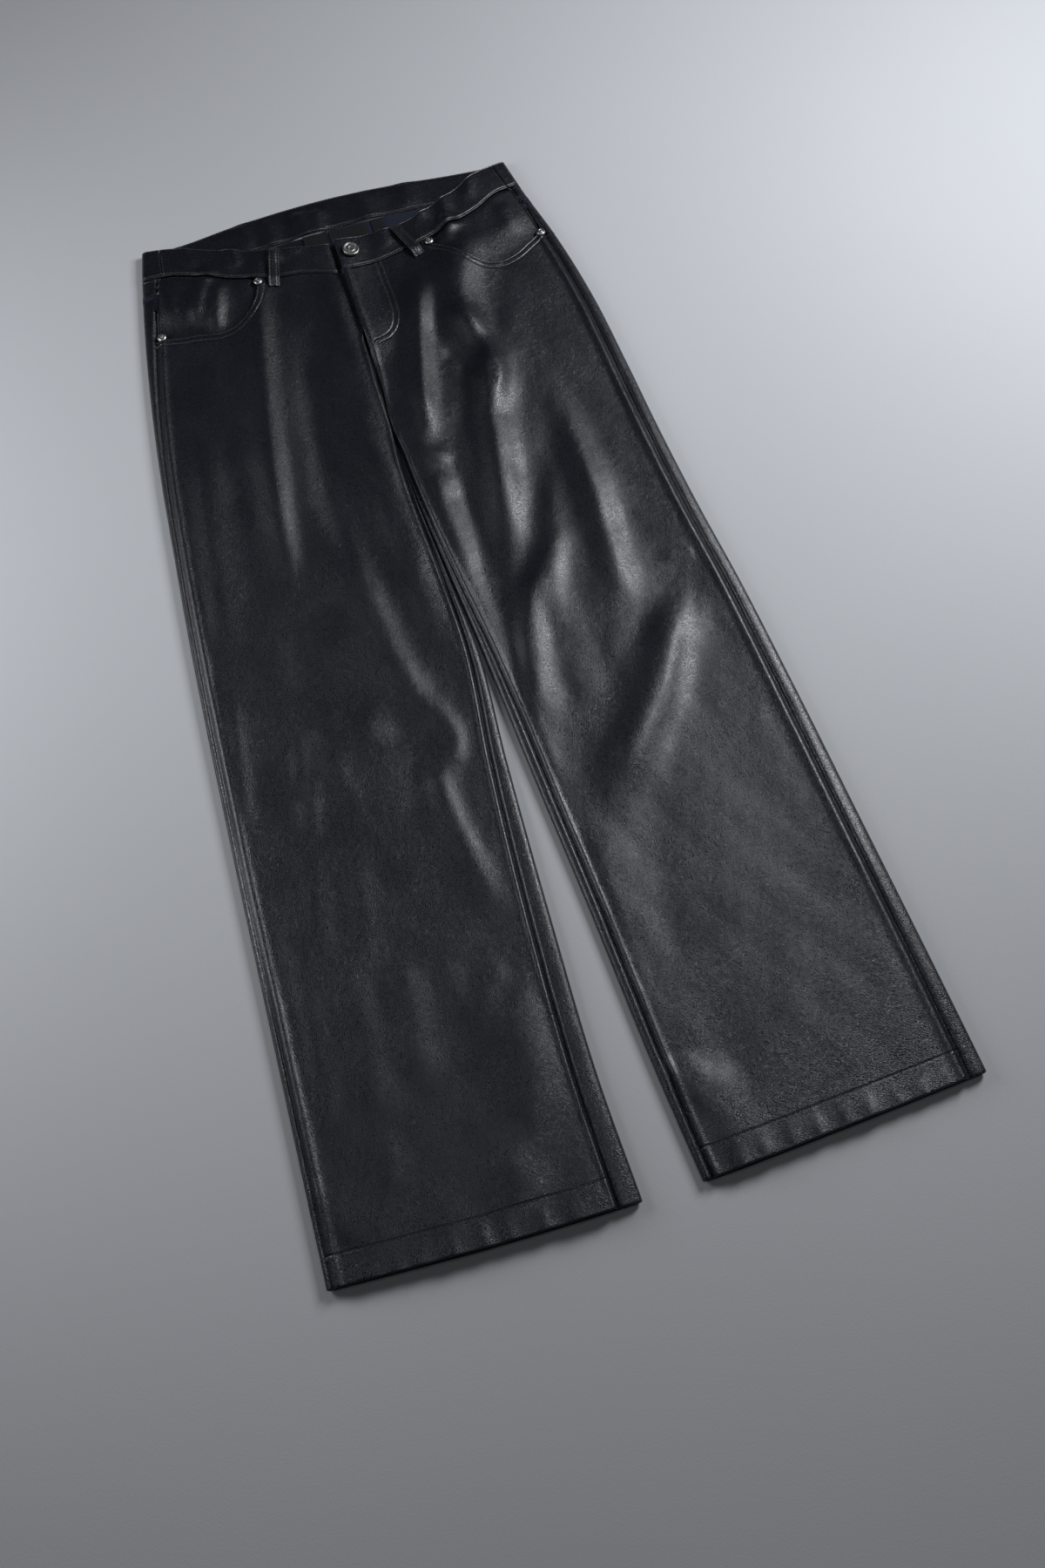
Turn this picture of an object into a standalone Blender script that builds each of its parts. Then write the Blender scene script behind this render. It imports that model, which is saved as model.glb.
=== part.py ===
"""Leather trousers with wide straight legs, laid flat with the front up.

Each half of the garment is a flattened tube. A ring coordinate, in millimetres, runs
round it from the folded outer edge: under the garment to the inner edge, and back over
the top. Panels, yokes and waistbands are walls through stretches of that ring, so they
meet along their seams. Soft folds lift the top face. Tables are in millimetres, with X to
the wearer's left, Y from the hem to the waist and Z up from the surface underneath.
"""

import math

import bpy
import numpy as np
from mathutils import Vector

MM = 0.001

# Leather and seams
LEATHER = 1.2  # one layer, with its knitted backing
BAND = 2.6  # folded waistband
SEAM_GAP = 0.3
INSEAM_GAP = 0.5  # wider, where the seam lies on a tight roll
LAP_GAP = 0.8  # between a panel and what lies under it
FACING_GAP = 2.2
HEM_DEPTH = 25.0
HEM_TURN = 8.0  # length over which the doubled hem thins to one layer
ROLL = 5.0  # how far a folded edge curves inwards before it is flat
EDGE_FALL = 38.0  # how far from a folded edge the folds reach their height
SPAN = 1000.0  # every surface's two parameters run from 0 to this
NORMAL_STEP = 0.02  # step of the surface parameters that gives a normal
SETTLE = 4  # rounds that settle a point's x and y on a curved line

# The crotch, and how far above it the two legs' grooves run out
CROTCH_Y = 782.0
CROTCH_RISE = 62.0
INSEAM_FADE = 45.0  # length below the crotch over which the inner strip grows
SEAM_MARGIN = 4.0  # the last of a back piece beside the centre seam

# The fly: the left front laps over the right one
FLY_END_Y = 868.0
FLY_LAP = 8.0
FLY_LIFT = 3.2
FLY_REACH = 42.0
FLY_RUN_IN = 26.0  # how far below the fly's end the lift starts
FLY_RUN = 34.0  # and over what length it grows
LAP_START = 12.0  # how far above the fly's end the lap starts
LAP_RUN = 20.0
BAND_PROUD = 0.9
BAND_UNDERLAP = 24.0
BAND_UNDERLAP_DROP = 3.4

SECTION_COLUMNS = ("y", "outer", "inner", "outer_strip", "inner_strip", "edge", "middle")
# outer_strip and inner_strip: back leather that shows on top, measured round the fold
RIGHT_SECTIONS = (
    (0, -283.5, -27.0, 6.4, 22.8, 8.6, 10.6),
    (100, -279.0, -28.3, 6.9, 21.5, 8.2, 8.8),
    (250, -272.0, -22.0, 6.9, 20.5, 8.0, 7.6),
    (400, -265.0, -13.2, 6.9, 16.5, 8.0, 7.4),
    (520, -258.5, -4.4, 7.4, 11.5, 8.2, 7.6),
    (600, -253.5, -7.9, 7.8, 8.0, 8.4, 7.8),
    (700, -245.5, -12.9, 7.8, 5.0, 8.6, 8.2),
    (782, -238.6, -12.3, 8.8, 3.0, 8.6, 8.8),
    (870, -228.5, -8.2, 10.8, 2.0, 8.4, 9.6),
    (960, -215.0, -8.0, 15.0, 2.0, 8.2, 11.4),
    (1022, -203.5, -7.6, 18.8, 2.0, 8.2, 12.4),
    (1080, -191.0, -7.6, 20.0, 2.0, 8.2, 11.0),
)
LEFT_SECTIONS = (
    (0, 277.0, 24.0, 18.8, 10.5, 8.6, 10.6),
    (100, 272.5, 17.6, 17.8, 11.6, 8.2, 8.8),
    (250, 264.8, 11.2, 17.8, 12.0, 8.0, 7.6),
    (400, 257.0, 3.4, 16.8, 12.6, 8.0, 7.4),
    (520, 249.2, -1.6, 15.8, 11.0, 8.2, 7.6),
    (600, 241.8, -6.9, 15.8, 8.0, 8.4, 7.8),
    (700, 235.2, -12.1, 15.3, 5.0, 8.6, 8.2),
    (782, 231.6, -11.6, 14.8, 3.0, 8.6, 8.8),
    (870, 226.5, -7.7, 13.8, 2.0, 8.4, 9.6),
    (960, 214.2, -7.5, 12.8, 2.0, 8.2, 11.4),
    (1022, 201.0, -7.1, 12.4, 2.0, 8.2, 12.4),
    (1080, 191.0, -7.1, 12.0, 2.0, 8.2, 11.0),
)

# Lines across the garment, each as (x, y) knots
HEM = ((-283.5, 9.0), (-150, 2.0), (-27, 0.0), (24, 0.0), (150, 6.0), (277, 14.0))
FRONT_BAND_TOP = (
    (-196, 1058), (-178, 1054), (-137, 1040), (-101, 1027), (-64, 1018), (-7, 1009.5),
    (30, 1009.5), (68, 1014), (98, 1025), (128, 1039), (158, 1056), (193.5, 1066.5),
)
FRONT_BAND_FOOT = (
    (-203.5, 1022), (-180, 1018), (-137, 1003), (-101, 989.5), (-78, 983.5), (-45, 979.5),
    (-7, 970), (31, 972.5), (67, 981), (94, 989), (120, 998.5), (147, 1009.5),
    (170, 1023), (197, 1031.5),
)
BACK_BAND_TOP = (
    (-196, 1058), (-155, 1060), (-103, 1068), (-47, 1074), (7, 1076.5), (73, 1074.5),
    (140, 1069), (193.5, 1066.5),
)
BACK_BAND_FOOT = (
    (-203.5, 1022), (-150, 1025), (-47, 1033), (0, 1036.5), (66, 1037), (120, 1035.5),
    (197, 1031.5),
)
YOKE_FOOT = ((-210, 999), (-110, 984), (-8, 972), (100, 988), (206, 1009))

# Scoops of the front pockets, from the side seam to the rivet by the belt loop
RIGHT_SCOOP = (
    (-212, 943), (-198, 941.5), (-180, 938), (-163, 936.5), (-144, 933), (-131, 935),
    (-114, 945), (-101, 960), (-93, 981),
)
LEFT_SCOOP = (
    (84, 983), (100, 970), (114, 953), (128, 942.5), (147, 937), (167, 941.5),
    (184, 952), (200, 962), (212, 965),
)
YOKE_EDGE_Y = 1004.0

FACING_TUCK = 12.0  # how far a facing runs under the scoop
FACING_SIDE_TUCK = 5.0
FACING_RISE_FROM = 4.0  # how far above the scoop it starts to rise to the waistband's level
FACING_RISE = 16.0
FACING_EDGE_GAP = 1.0  # beside the side seam, where the facets of both pieces differ
FACING_TOP_GAP = 0.5

FOLD_COLUMNS = ("start", "bend", "end", "height", "left", "right")
# A soft ridge on a curve through three points: its height, and its width to each side.
# Minus heights are troughs. Seen along the curve from its start, left is the left hand.
FOLDS = (
    # right front, from the pocket down the middle of the leg
    ((-96, 965), (-108, 850), (-135, 640), 9.5, 20, 15),
    ((-112, 850), (-122, 770), (-132, 650), -3.0, 12, 12),
    ((-52, 955), (-48, 760), (-50, 560), -3.2, 26, 26),
    ((-26, 925), (-16, 730), (-22, 600), 5.0, 11, 20),
    ((-34, 560), (-62, 400), (-45, 280), 7.0, 13, 20),
    ((-150, 480), (-115, 450), (-140, 330), 5.5, 30, 34),
    ((-190, 430), (-182, 380), (-190, 290), 4.0, 12, 14),
    ((-235, 760), (-240, 500), (-255, 200), 3.2, 18, 24),
    ((-112, 270), (-118, 160), (-110, 60), 3.6, 26, 26),
    ((-58, 190), (-56, 110), (-60, 50), 4.2, 18, 18),
    ((-225, 300), (-240, 230), (-250, 150), 3.0, 14, 20),
    # left front, from the fly and the pocket down to the knee
    ((66, 930), (42, 830), (30, 745), 10.5, 12, 18),
    ((8, 752), (34, 742), (52, 762), 5.0, 14, 12),
    ((0, 735), (24, 728), (50, 738), -3.0, 9, 9),
    ((104, 985), (104, 900), (84, 838), 10.0, 20, 22),
    ((80, 826), (92, 815), (108, 828), -4.5, 12, 12),
    ((118, 822), (102, 720), (64, 600), 9.0, 18, 24),
    ((5, 710), (30, 650), (24, 540), 5.5, 16, 18),
    ((164, 742), (164, 640), (140, 530), 6.0, 24, 26),
    ((112, 612), (66, 520), (34, 370), 8.0, 24, 22),
    ((206, 520), (140, 420), (44, 318), 9.0, 20, 28),
    ((196, 492), (140, 410), (100, 360), -3.0, 12, 14),
    ((170, 560), (198, 552), (222, 556), 4.0, 9, 12),
    ((62, 320), (60, 260), (72, 200), 3.5, 24, 24),
    ((36, 108), (70, 92), (88, 60), 5.5, 18, 22),
    ((200, 300), (196, 200), (190, 90), 3.0, 30, 30),
    # between the two rivets the waistband dips and lifts
    ((-135, 1015), (-120, 1005), (-104, 998), 3.0, 10, 12),
    ((102, 1012), (112, 1002), (108, 985), 3.5, 10, 12),
)
# The free edge of each hem lifts in a few uneven waves: middle, half width, height
HEM_WAVES = (
    (-238, 26, 1.6), (-176, 24, 2.6), (-118, 22, 2.0), (-62, 22, 2.8),
    (66, 24, 3.0), (118, 20, 1.6), (168, 22, 2.4), (226, 20, 1.4),
)
HEM_WAVE_REACH = 70.0

# Metalwork: (x, y) of each piece
BUTTON_AT = (6.5, 990.0)
BUTTON_PROFILE = (
    (0, 4.6), (3.2, 4.6), (3.6, 4.2), (6.6, 4.2), (8.0, 3.6), (8.5, 2.6), (8.0, 1.7), (0, 0.3),
)
RIVETS_AT = ((-92.5, 980.0), (-200.0, 943.5), (86.5, 981.0), (200.0, 961.0))
RIVET_PROFILE = ((0, 2.3), (1.5, 2.2), (3.3, 1.7), (4.5, 0.7), (4.5, 0.3), (0, 0.3))

LOOP_WIDTH = 11.0
LOOP_WALL = 2.0
LOOP_BULGE = 2.6
LOOP_END = 0.2  # share of a loop's length over which it rises from each end
# top of each loop on the waistband, and its foot on the panel
LOOPS = {
    "belt_loop_right": ((-67, 1017), (-78, 971)),
    "belt_loop_left": ((57, 1010), (73, 966)),
}

LABEL_X = (-34.0, 32.0)
LABEL_Y = (993.0, 1033.5)
LABEL_WALL = 0.8
TAG_X = (38.5, 50.5)
TAG_Y = (1019.0, 1034.5)

# Side seams of the waistband, as (y, x) knots
RIGHT_BAND_SEAM = ((1018, -182.4), (1036, -180.4), (1054, -178.3))
LEFT_BAND_SEAM = ((1028, 186.0), (1046, 182.0), (1064, 178.0))

ZIP_X = (-10.0, 20.0)
ZIP_Y = (872.0, 966.0)
ZIP_WALL = 1.4
LOOP_SEAT = 0.3
BUTTON_SEGMENTS = 24
RIVET_SEGMENTS = 14
RIVET_SEAT = 0.7
SLOPE_STEP = 4.0  # half the length over which a metal piece reads the slope under it

# Back pieces: u where the strip on top ends, and where the strip past the inner seam starts.
# The back waistband has a strip at both of its ends.
STRIP_END = 100.0
INNER_START = 900.0

# Grids
FRONT_COLUMNS = 21
FRONT_ROWS = 36
FRONT_TOP_Y = 975.0
BACK_FLAT_STATIONS = 6
THIN_FROM_Y = 440.0  # below this a back keeps every other row of its front
THIN_TO_Y = CROTCH_Y + 40.0
YOKE_ROWS = 4
BAND_ROWS = 4
RIGHT_BAND_COLUMNS = 19
LEFT_BAND_COLUMNS = 17
FACING_COLUMNS = 11
FACING_ROWS = 8
ZIP_COLUMNS = 5
ZIP_ROWS = 9
LOOP_COLUMNS = 3
LOOP_ROWS = 13

COLLECTION = "leather_trousers"
LEATHER_LOOK = ((0.018, 0.018, 0.022), 0.42, 0.0)
METAL_LOOK = ((0.42, 0.41, 0.39), 0.35, 1.0)
CLOTH_LOOK = ((0.012, 0.013, 0.018), 0.85, 0.0)


def smoothstep(t):
    """Rise from 0 to 1 with level ends: 3t^2 - 2t^3."""
    t = np.clip(t, 0.0, 1.0)
    return t * t * (3.0 - 2.0 * t)


def smooth_through(x, knots, values):
    """A cubic curve through the knots, whose slope at each is the mean of its neighbours'."""
    knots = np.asarray(knots, float)
    values = np.asarray(values, float)
    slopes = np.gradient(values, knots)
    i = np.clip(np.searchsorted(knots, x) - 1, 0, len(knots) - 2)
    span = knots[i + 1] - knots[i]
    t = (np.clip(x, knots[0], knots[-1]) - knots[i]) / span
    start = (1 + 2 * t) * (1 - t) ** 2 * values[i] + t * (1 - t) ** 2 * span * slopes[i]
    end = t * t * (3 - 2 * t) * values[i + 1] - t * t * (1 - t) * span * slopes[i + 1]
    return start + end


def line_across(line, x):
    """The y of a line across the garment at x."""
    knots, values = zip(*line)
    return smooth_through(x, knots, values)


def closure(y):
    """1 where the leg is a closed tube, 0 where both halves share one, with a groove between."""
    return 1.0 - smoothstep((y - CROTCH_Y) / CROTCH_RISE)


def ridge(x, y, fold):
    """One fold: a bell across its curve, which fades in and out along it."""
    row = dict(zip(FOLD_COLUMNS, fold))
    ts = np.linspace(0.0, 1.0, 13)[:, None]
    start, bend, end = (np.array(row[key], float) for key in ("start", "bend", "end"))
    through = 2.0 * bend - 0.5 * (start + end)
    points = (1 - ts) ** 2 * start + 2 * ts * (1 - ts) * through + ts**2 * end
    best = np.full(np.shape(x), np.inf)
    lift = np.zeros(np.shape(x))
    for i, (a, b) in enumerate(zip(points[:-1], points[1:])):
        along = b - a
        t = ((x - a[0]) * along[0] + (y - a[1]) * along[1]) / (along @ along)
        t = np.clip(t, 0.0, 1.0)
        dx = x - a[0] - t * along[0]
        dy = y - a[1] - t * along[1]
        leftward = along[0] * dy - along[1] * dx
        width = np.where(leftward > 0, row["left"], row["right"])
        place = (i + t) / (len(points) - 1)
        fade = smoothstep(place / 0.3) * smoothstep((1 - place) / 0.3)
        distance = np.hypot(dx, dy)
        bell = row["height"] * fade * np.exp(-((distance / width) ** 2))
        lift = np.where(distance < best, bell, lift)
        best = np.minimum(best, distance)
    return lift


def folds(x, y):
    """All the folds of the top face together, with the waves of the hems."""
    lift = sum(ridge(x, y, fold) for fold in FOLDS)
    for middle, half_width, height in HEM_WAVES:
        reach = 1.0 - smoothstep(y / HEM_WAVE_REACH)
        lift = lift + height * reach * np.exp(-(((x - middle) / half_width) ** 2))
    return lift


class Half:
    """One half of the garment: the sections of its tube, and the ring round them."""

    def __init__(self, name, sections, inwards):
        self.name = name
        self.inwards = inwards  # the way from the outer edge to the inner one along X
        self.columns = dict(zip(SECTION_COLUMNS, np.array(sections, float).T))

    def at(self, column, y):
        return smooth_through(y, self.columns["y"], self.columns[column])

    def height(self, x, y):
        """Height of the top face: the edge's, rising to the middle's and the folds'."""
        from_outer = np.abs(x - self.at("outer", y))
        from_inner = np.abs(self.at("inner", y) - x)
        open_side = 1.0 - closure(y) * (1.0 - smoothstep(from_inner / EDGE_FALL))
        rise = smoothstep(from_outer / EDGE_FALL) * open_side
        edge = self.at("edge", y)
        return edge + rise * (self.at("middle", y) - edge + folds(x, y))

    def arc(self, y):
        """Length of one face of the ring, from the outer edge to the inner one."""
        flat = (self.at("inner", y) - self.at("outer", y)) * self.inwards
        return flat + ROLL * (math.pi / 2 - 1) * (1.0 + closure(y))

    def inner_strip(self, y):
        """The strip beside the inner seam, which runs out at the crotch."""
        return self.at("inner_strip", y) * smoothstep((CROTCH_Y - y) / INSEAM_FADE)

    def face(self, around, by_outer, up, y, proud=0.0):
        """x and z on one face, at a distance round from the outer or the inner edge.

        Near an edge the section is half an ellipse. Above the crotch the inner edge opens,
        until both halves' faces meet edge to edge.
        """
        folded = np.where(by_outer, 1.0, closure(y))
        edge = np.where(by_outer, self.at("outer", y), self.at("inner", y))
        way = np.where(by_outer, self.inwards, -self.inwards)
        distance = np.abs(around)
        angle = np.minimum(distance / ROLL, math.pi / 2)
        rolled = ROLL * (1 - np.cos(angle)) + np.maximum(distance - ROLL * math.pi / 2, 0.0)
        x = edge + way * np.sign(around) * (distance + (rolled - distance) * folded)
        full = 1.0 - folded * (1.0 - np.sin(angle))
        return x, (self.height(x, y) + proud) / 2 * (1.0 + np.where(up, full, -full))

    def top(self, s, y, proud=0.0):
        """x and z on the top face, at s along it from the outer edge."""
        arc = self.arc(y)
        by_outer = s < arc / 2
        return self.face(np.where(by_outer, s, arc - s), by_outer, True, y, proud)

    def ring(self, p, y, proud=0.0):
        """x and z at p round the ring: underneath from 0 to the arc, on top outside that."""
        arc = self.arc(y)
        by_outer = p < arc / 2
        around = np.where(by_outer, p, arc - p)
        return self.face(np.abs(around), by_outer, around < 0, y, proud)


RIGHT = Half("right", RIGHT_SECTIONS, 1.0)
LEFT = Half("left", LEFT_SECTIONS, -1.0)


def new_object(name, mesh, look):
    """Link an object of its own material into the garment's collection."""
    colour, roughness, metallic = look
    material = bpy.data.materials.new(name)
    material.use_nodes = True
    shader = material.node_tree.nodes["Principled BSDF"]
    shader.inputs["Base Color"].default_value = (*colour, 1.0)
    shader.inputs["Roughness"].default_value = roughness
    shader.inputs["Metallic"].default_value = metallic
    mesh.materials.append(material)
    mesh.shade_smooth()
    mesh.set_sharp_from_angle(angle=math.radians(40))
    obj = bpy.data.objects.new(name, mesh)
    bpy.data.collections[COLLECTION].objects.link(obj)
    return obj


def surface_normals(surface, u, v):
    """Normals of a surface from small steps along both of its parameters."""
    du = np.stack(surface(u + NORMAL_STEP, v)) - np.stack(surface(u - NORMAL_STEP, v))
    dv = np.stack(surface(u, v + NORMAL_STEP)) - np.stack(surface(u, v - NORMAL_STEP))
    normals = np.cross(du, dv, axis=0)
    return normals / np.linalg.norm(normals, axis=0)


def wall(name, surface, us, vs, thickness, look=LEATHER_LOOK):
    """A closed wall inside a surface of two parameters, over the grid of us and vs.

    The surface gives x, y and z, and its u, v and outward normal are right-handed. The
    inner face is moved in by the thickness, which may be a function of the points.
    """
    u, v = np.meshgrid(us, vs)
    outer = np.stack(surface(u, v))
    deep = thickness(*outer) if callable(thickness) else thickness
    inner = outer - surface_normals(surface, u, v) * deep
    points = np.concatenate([outer.reshape(3, -1).T, inner.reshape(3, -1).T]) * MM
    rows, columns = u.shape
    count = rows * columns
    index = np.arange(count).reshape(rows, columns)
    corners = (index[:-1, :-1], index[:-1, 1:], index[1:, 1:], index[1:, :-1])
    outside = np.stack([corner.ravel() for corner in corners], axis=1)
    rim = np.concatenate([index[0, :-1], index[:-1, -1], index[-1, :0:-1], index[:0:-1, 0]])
    following = np.roll(rim, -1)
    sides = np.stack([rim, rim + count, following + count, following], axis=1)
    faces = np.concatenate([outside, outside[:, ::-1] + count, sides])
    mesh = bpy.data.meshes.new(name)
    mesh.from_pydata(points.tolist(), [], faces.tolist())
    return new_object(name, mesh, look)


def leg_wall(x, y, z):
    """Wall of a leg panel: two layers where the hem is turned up."""
    return np.where(y < HEM_DEPTH + HEM_TURN, 2.0 * LEATHER, LEATHER)


def lap_over(x, y):
    """How far the left front stands off the right one beside the fly."""
    beside = 1.0 - smoothstep(np.abs(x - LEFT.at("inner", y)) / FLY_REACH)
    return FLY_LIFT * beside * smoothstep((y - FLY_END_Y + FLY_RUN_IN) / FLY_RUN)


def across(start, end, u, backwards):
    """Place between two ends, for u from 0 to the span or the other way."""
    share = np.where(backwards, SPAN - u, u) / SPAN
    return start + (end - start) * share


def front_panel(half, scoop, lap):
    """Surface of a front: between the seams, from the hem to the pocket and the waistband."""
    pocket_end = scoop[-1][0] if half is RIGHT else scoop[0][0]

    def upper(x):
        in_pocket = x < pocket_end if half is RIGHT else x > pocket_end
        line = np.where(in_pocket, line_across(scoop, x), line_across(FRONT_BAND_FOOT, x))
        return line - SEAM_GAP / 2

    def place(u, y):
        start = half.at("outer_strip", y) + SEAM_GAP / 2
        end = half.arc(y) - half.inner_strip(y) - INSEAM_GAP / 2
        end = end + lap * smoothstep((y - FLY_END_Y - LAP_START) / LAP_RUN)
        return across(start, end, u, half is LEFT)

    def surface(u, v):
        share = v / SPAN
        y = FRONT_TOP_Y * share
        for _ in range(SETTLE):
            x, _ = half.top(place(u, y), y)
            low = line_across(HEM, x)
            y = low + (upper(x) - low) * share
        x, z = half.top(place(u, y), y)
        if half is LEFT:
            z = z + lap_over(x, y)
        return x, y, z

    return surface


def back_panel(half, low, high):
    """Surface of a back piece round the ring, between two lines across the garment.

    Each line is a pair: along the underside, and along the strip on top beside the side
    seam. u runs over that strip first, then underneath, and last over the inner strip,
    which above the crotch is only the last of the underside.
    """

    def place(u, y):
        onward = np.where(half is RIGHT, SPAN - u, u)
        strip = half.at("outer_strip", y) - SEAM_GAP / 2
        margin = SEAM_MARGIN * (1.0 - smoothstep((CROTCH_Y - y) / INSEAM_FADE))
        last = half.arc(y) - margin
        end = half.arc(y) + half.inner_strip(y) - INSEAM_GAP / 2
        on_strip = -strip * (1.0 - onward / STRIP_END)
        below = last * (onward - STRIP_END) / (INNER_START - STRIP_END)
        beyond = last + (end - last) * (onward - INNER_START) / (SPAN - INNER_START)
        underneath = np.where(onward < INNER_START, below, beyond)
        return np.where(onward < STRIP_END, on_strip, underneath)

    def surface(u, v):
        share = v / SPAN
        y = THIN_FROM_Y + 0.0 * u * v
        for _ in range(SETTLE):
            p = place(u, y)
            x, _ = half.ring(p, y)
            ends = [np.where(p < 0, line[1](x), line[0](x)) for line in (low, high)]
            y = ends[0] + (ends[1] - ends[0]) * share
        x, z = half.ring(place(u, y), y)
        return x, y, z

    return surface


def seam_line(line, offset):
    """A line across the garment, moved along by a seam's share of the gap."""
    return lambda x: line_across(line, x) + offset


def level_line(y):
    """A line straight across at y."""
    return lambda x: y + 0.0 * x


def in_order(shares, backwards):
    """Parameter values, turned end for end where the surface runs backwards."""
    return SPAN - shares[::-1] if backwards else shares


def ring_stations(half, count_flat):
    """Stations round a back piece, closer together at both rolled edges, as u values."""
    strip = STRIP_END * np.array([0.0, 0.4, 0.7, 0.88])
    roll = STRIP_END + np.array([0.0, 8.0, 16.0, 24.0, 34.0])
    flat = np.linspace(STRIP_END + 50.0, INNER_START - 50.0, count_flat)
    inner = INNER_START + (SPAN - INNER_START) * np.array([0.0, 0.15, 0.35, 0.65, 1.0])
    stations = np.concatenate([strip, roll, flat, SPAN - roll[:0:-1], inner])
    return in_order(stations, half is RIGHT)


def front_columns(half, count):
    """Columns of a front, closer together towards the groove between the legs, as u values."""
    even = np.linspace(0.0, 1.0, count)
    near = np.array([0.955, 0.975, 0.988, 0.996, 1.0])
    return in_order(np.concatenate([even[even < 0.93], near]) * SPAN, half is LEFT)


def rows_from_hem(top_y, count):
    """Rows of a leg panel: the hem's own, then closer together towards the waist."""
    hem_end = HEM_DEPTH + HEM_TURN
    hem = np.array([0.0, HEM_DEPTH / 2, HEM_DEPTH - 1.0, hem_end + 1.0])
    rest = hem[-1] + (top_y - hem[-1]) * np.linspace(0.0, 1.0, count) ** 0.8
    return np.concatenate([hem, rest[1:]]) / top_y * SPAN


def fewer_rows(rows):
    """Every other row of a front for the flat back, but all of them round the crotch."""
    near = (rows > THIN_FROM_Y) & (rows < THIN_TO_Y)
    hem = rows < HEM_DEPTH + HEM_TURN
    keep = near | hem | (np.arange(len(rows)) % 2 == 0)
    keep[-1] = True
    return rows[keep]


def build_legs():
    """Front panels, back panels and yokes of both halves."""
    for half, scoop, lap in ((RIGHT, RIGHT_SCOOP, FLY_LAP), (LEFT, LEFT_SCOOP, 0.0)):
        columns = front_columns(half, FRONT_COLUMNS)
        rows = rows_from_hem(FRONT_TOP_Y, FRONT_ROWS)
        wall(f"front_{half.name}", front_panel(half, scoop, lap), columns, rows, leg_wall)
        stations = ring_stations(half, BACK_FLAT_STATIONS)
        foot_at_edge = float(line_across(YOKE_FOOT, half.at("outer", YOKE_EDGE_Y)))
        hem = seam_line(HEM, 0.0)
        gap = SEAM_GAP / 2
        back = back_panel(
            half, (hem, hem), (seam_line(YOKE_FOOT, -gap), level_line(foot_at_edge - gap))
        )
        wall(f"back_{half.name}", back, stations, fewer_rows(rows), leg_wall)
        yoke = back_panel(
            half,
            (seam_line(YOKE_FOOT, gap), level_line(foot_at_edge + gap)),
            (seam_line(BACK_BAND_FOOT, -gap), seam_line(FRONT_BAND_FOOT, -gap)),
        )
        wall(f"yoke_{half.name}", yoke, stations, np.linspace(0.0, SPAN, YOKE_ROWS), LEATHER)


def pocket_facing(half, scoop):
    """Surface of a pocket facing, from the side seam to past the scoop's end.

    It lies below the front along the scoop, and rises from there to meet the waistband.
    """
    if half is RIGHT:
        inner_end = scoop[-1][0] + FACING_SIDE_TUCK
    else:
        inner_end = scoop[0][0] - FACING_SIDE_TUCK

    def surface(u, v):
        y = YOKE_EDGE_Y + 0.0 * u * v
        for _ in range(SETTLE):
            seam, _ = half.top(half.at("outer_strip", y) + FACING_EDGE_GAP, y)
            x = across(seam, inner_end, u, half is LEFT)
            edge = line_across(scoop, x)
            low = edge - FACING_TUCK
            high = line_across(FRONT_BAND_FOOT, x) - FACING_TOP_GAP
            y = low + (high - low) * v / SPAN
        s = half.at("outer_strip", y) + FACING_EDGE_GAP + np.abs(x - seam)
        x, z = half.top(s, y)
        rise = smoothstep((y - edge - FACING_RISE_FROM) / FACING_RISE)
        return x, y, z - (LEATHER + FACING_GAP) * (1.0 - rise)

    return surface


def band_end(half, y):
    """x of a front waistband's side seam at y."""
    seam = RIGHT_BAND_SEAM if half is RIGHT else LEFT_BAND_SEAM
    return line_across(seam, y)


def front_band(half):
    """Surface of a front waistband, from its side seam to its end at the fly."""

    def surface(u, v):
        y = YOKE_EDGE_Y + 0.0 * u * v
        end = half.at("inner", y) + (BAND_UNDERLAP if half is RIGHT else 0.0)
        for _ in range(SETTLE):
            seam = band_end(half, y) + half.inwards * SEAM_GAP / 2
            x = across(seam, end, u, half is LEFT)
            low = line_across(FRONT_BAND_FOOT, x) + SEAM_GAP / 2
            y = low + (line_across(FRONT_BAND_TOP, x) - low) * v / SPAN
        z = half.height(x, y) + BAND_PROUD
        if half is LEFT:
            z = z + lap_over(x, y)
        else:
            under = smoothstep((x - end + BAND_UNDERLAP + FLY_LAP) / FLY_LAP)
            z = z - BAND_UNDERLAP_DROP * under
        return x, y, z

    return surface


def back_band(u, v):
    """Surface of the back waistband: under both halves, round both sides to the side seams.

    u runs from the left side seam under the garment to the right one.
    """
    from_end = np.minimum(u, SPAN - u)
    sides = []
    for half in (LEFT, RIGHT):
        y = YOKE_EDGE_Y + 0.0 * u * v
        for _ in range(SETTLE):
            strip = np.abs(band_end(half, y) - half.at("outer", y)) - SEAM_GAP / 2
            strip = strip + ROLL * (math.pi / 2 - 1)
            on_strip = -strip * (1.0 - from_end / STRIP_END)
            below = half.arc(y) * (from_end - STRIP_END) / (SPAN / 2 - STRIP_END)
            p = np.where(from_end < STRIP_END, on_strip, below)
            x, z = half.ring(p, y, BAND_PROUD)
            foot = np.where(p < 0, line_across(FRONT_BAND_FOOT, x), line_across(BACK_BAND_FOOT, x))
            head = np.where(p < 0, line_across(FRONT_BAND_TOP, x), line_across(BACK_BAND_TOP, x))
            foot = foot + SEAM_GAP / 2
            y = foot + (head - foot) * v / SPAN
        sides.append((x, y, z))
    return tuple(np.where(u < SPAN / 2, left, right) for left, right in zip(*sides))


def lying_on(half, x, y):
    """Height of the top face at a place, with the fly's lift where the left front carries it."""
    lift = lap_over(x, y) if half is LEFT else 0.0
    return half.height(x, y) + lift


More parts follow.
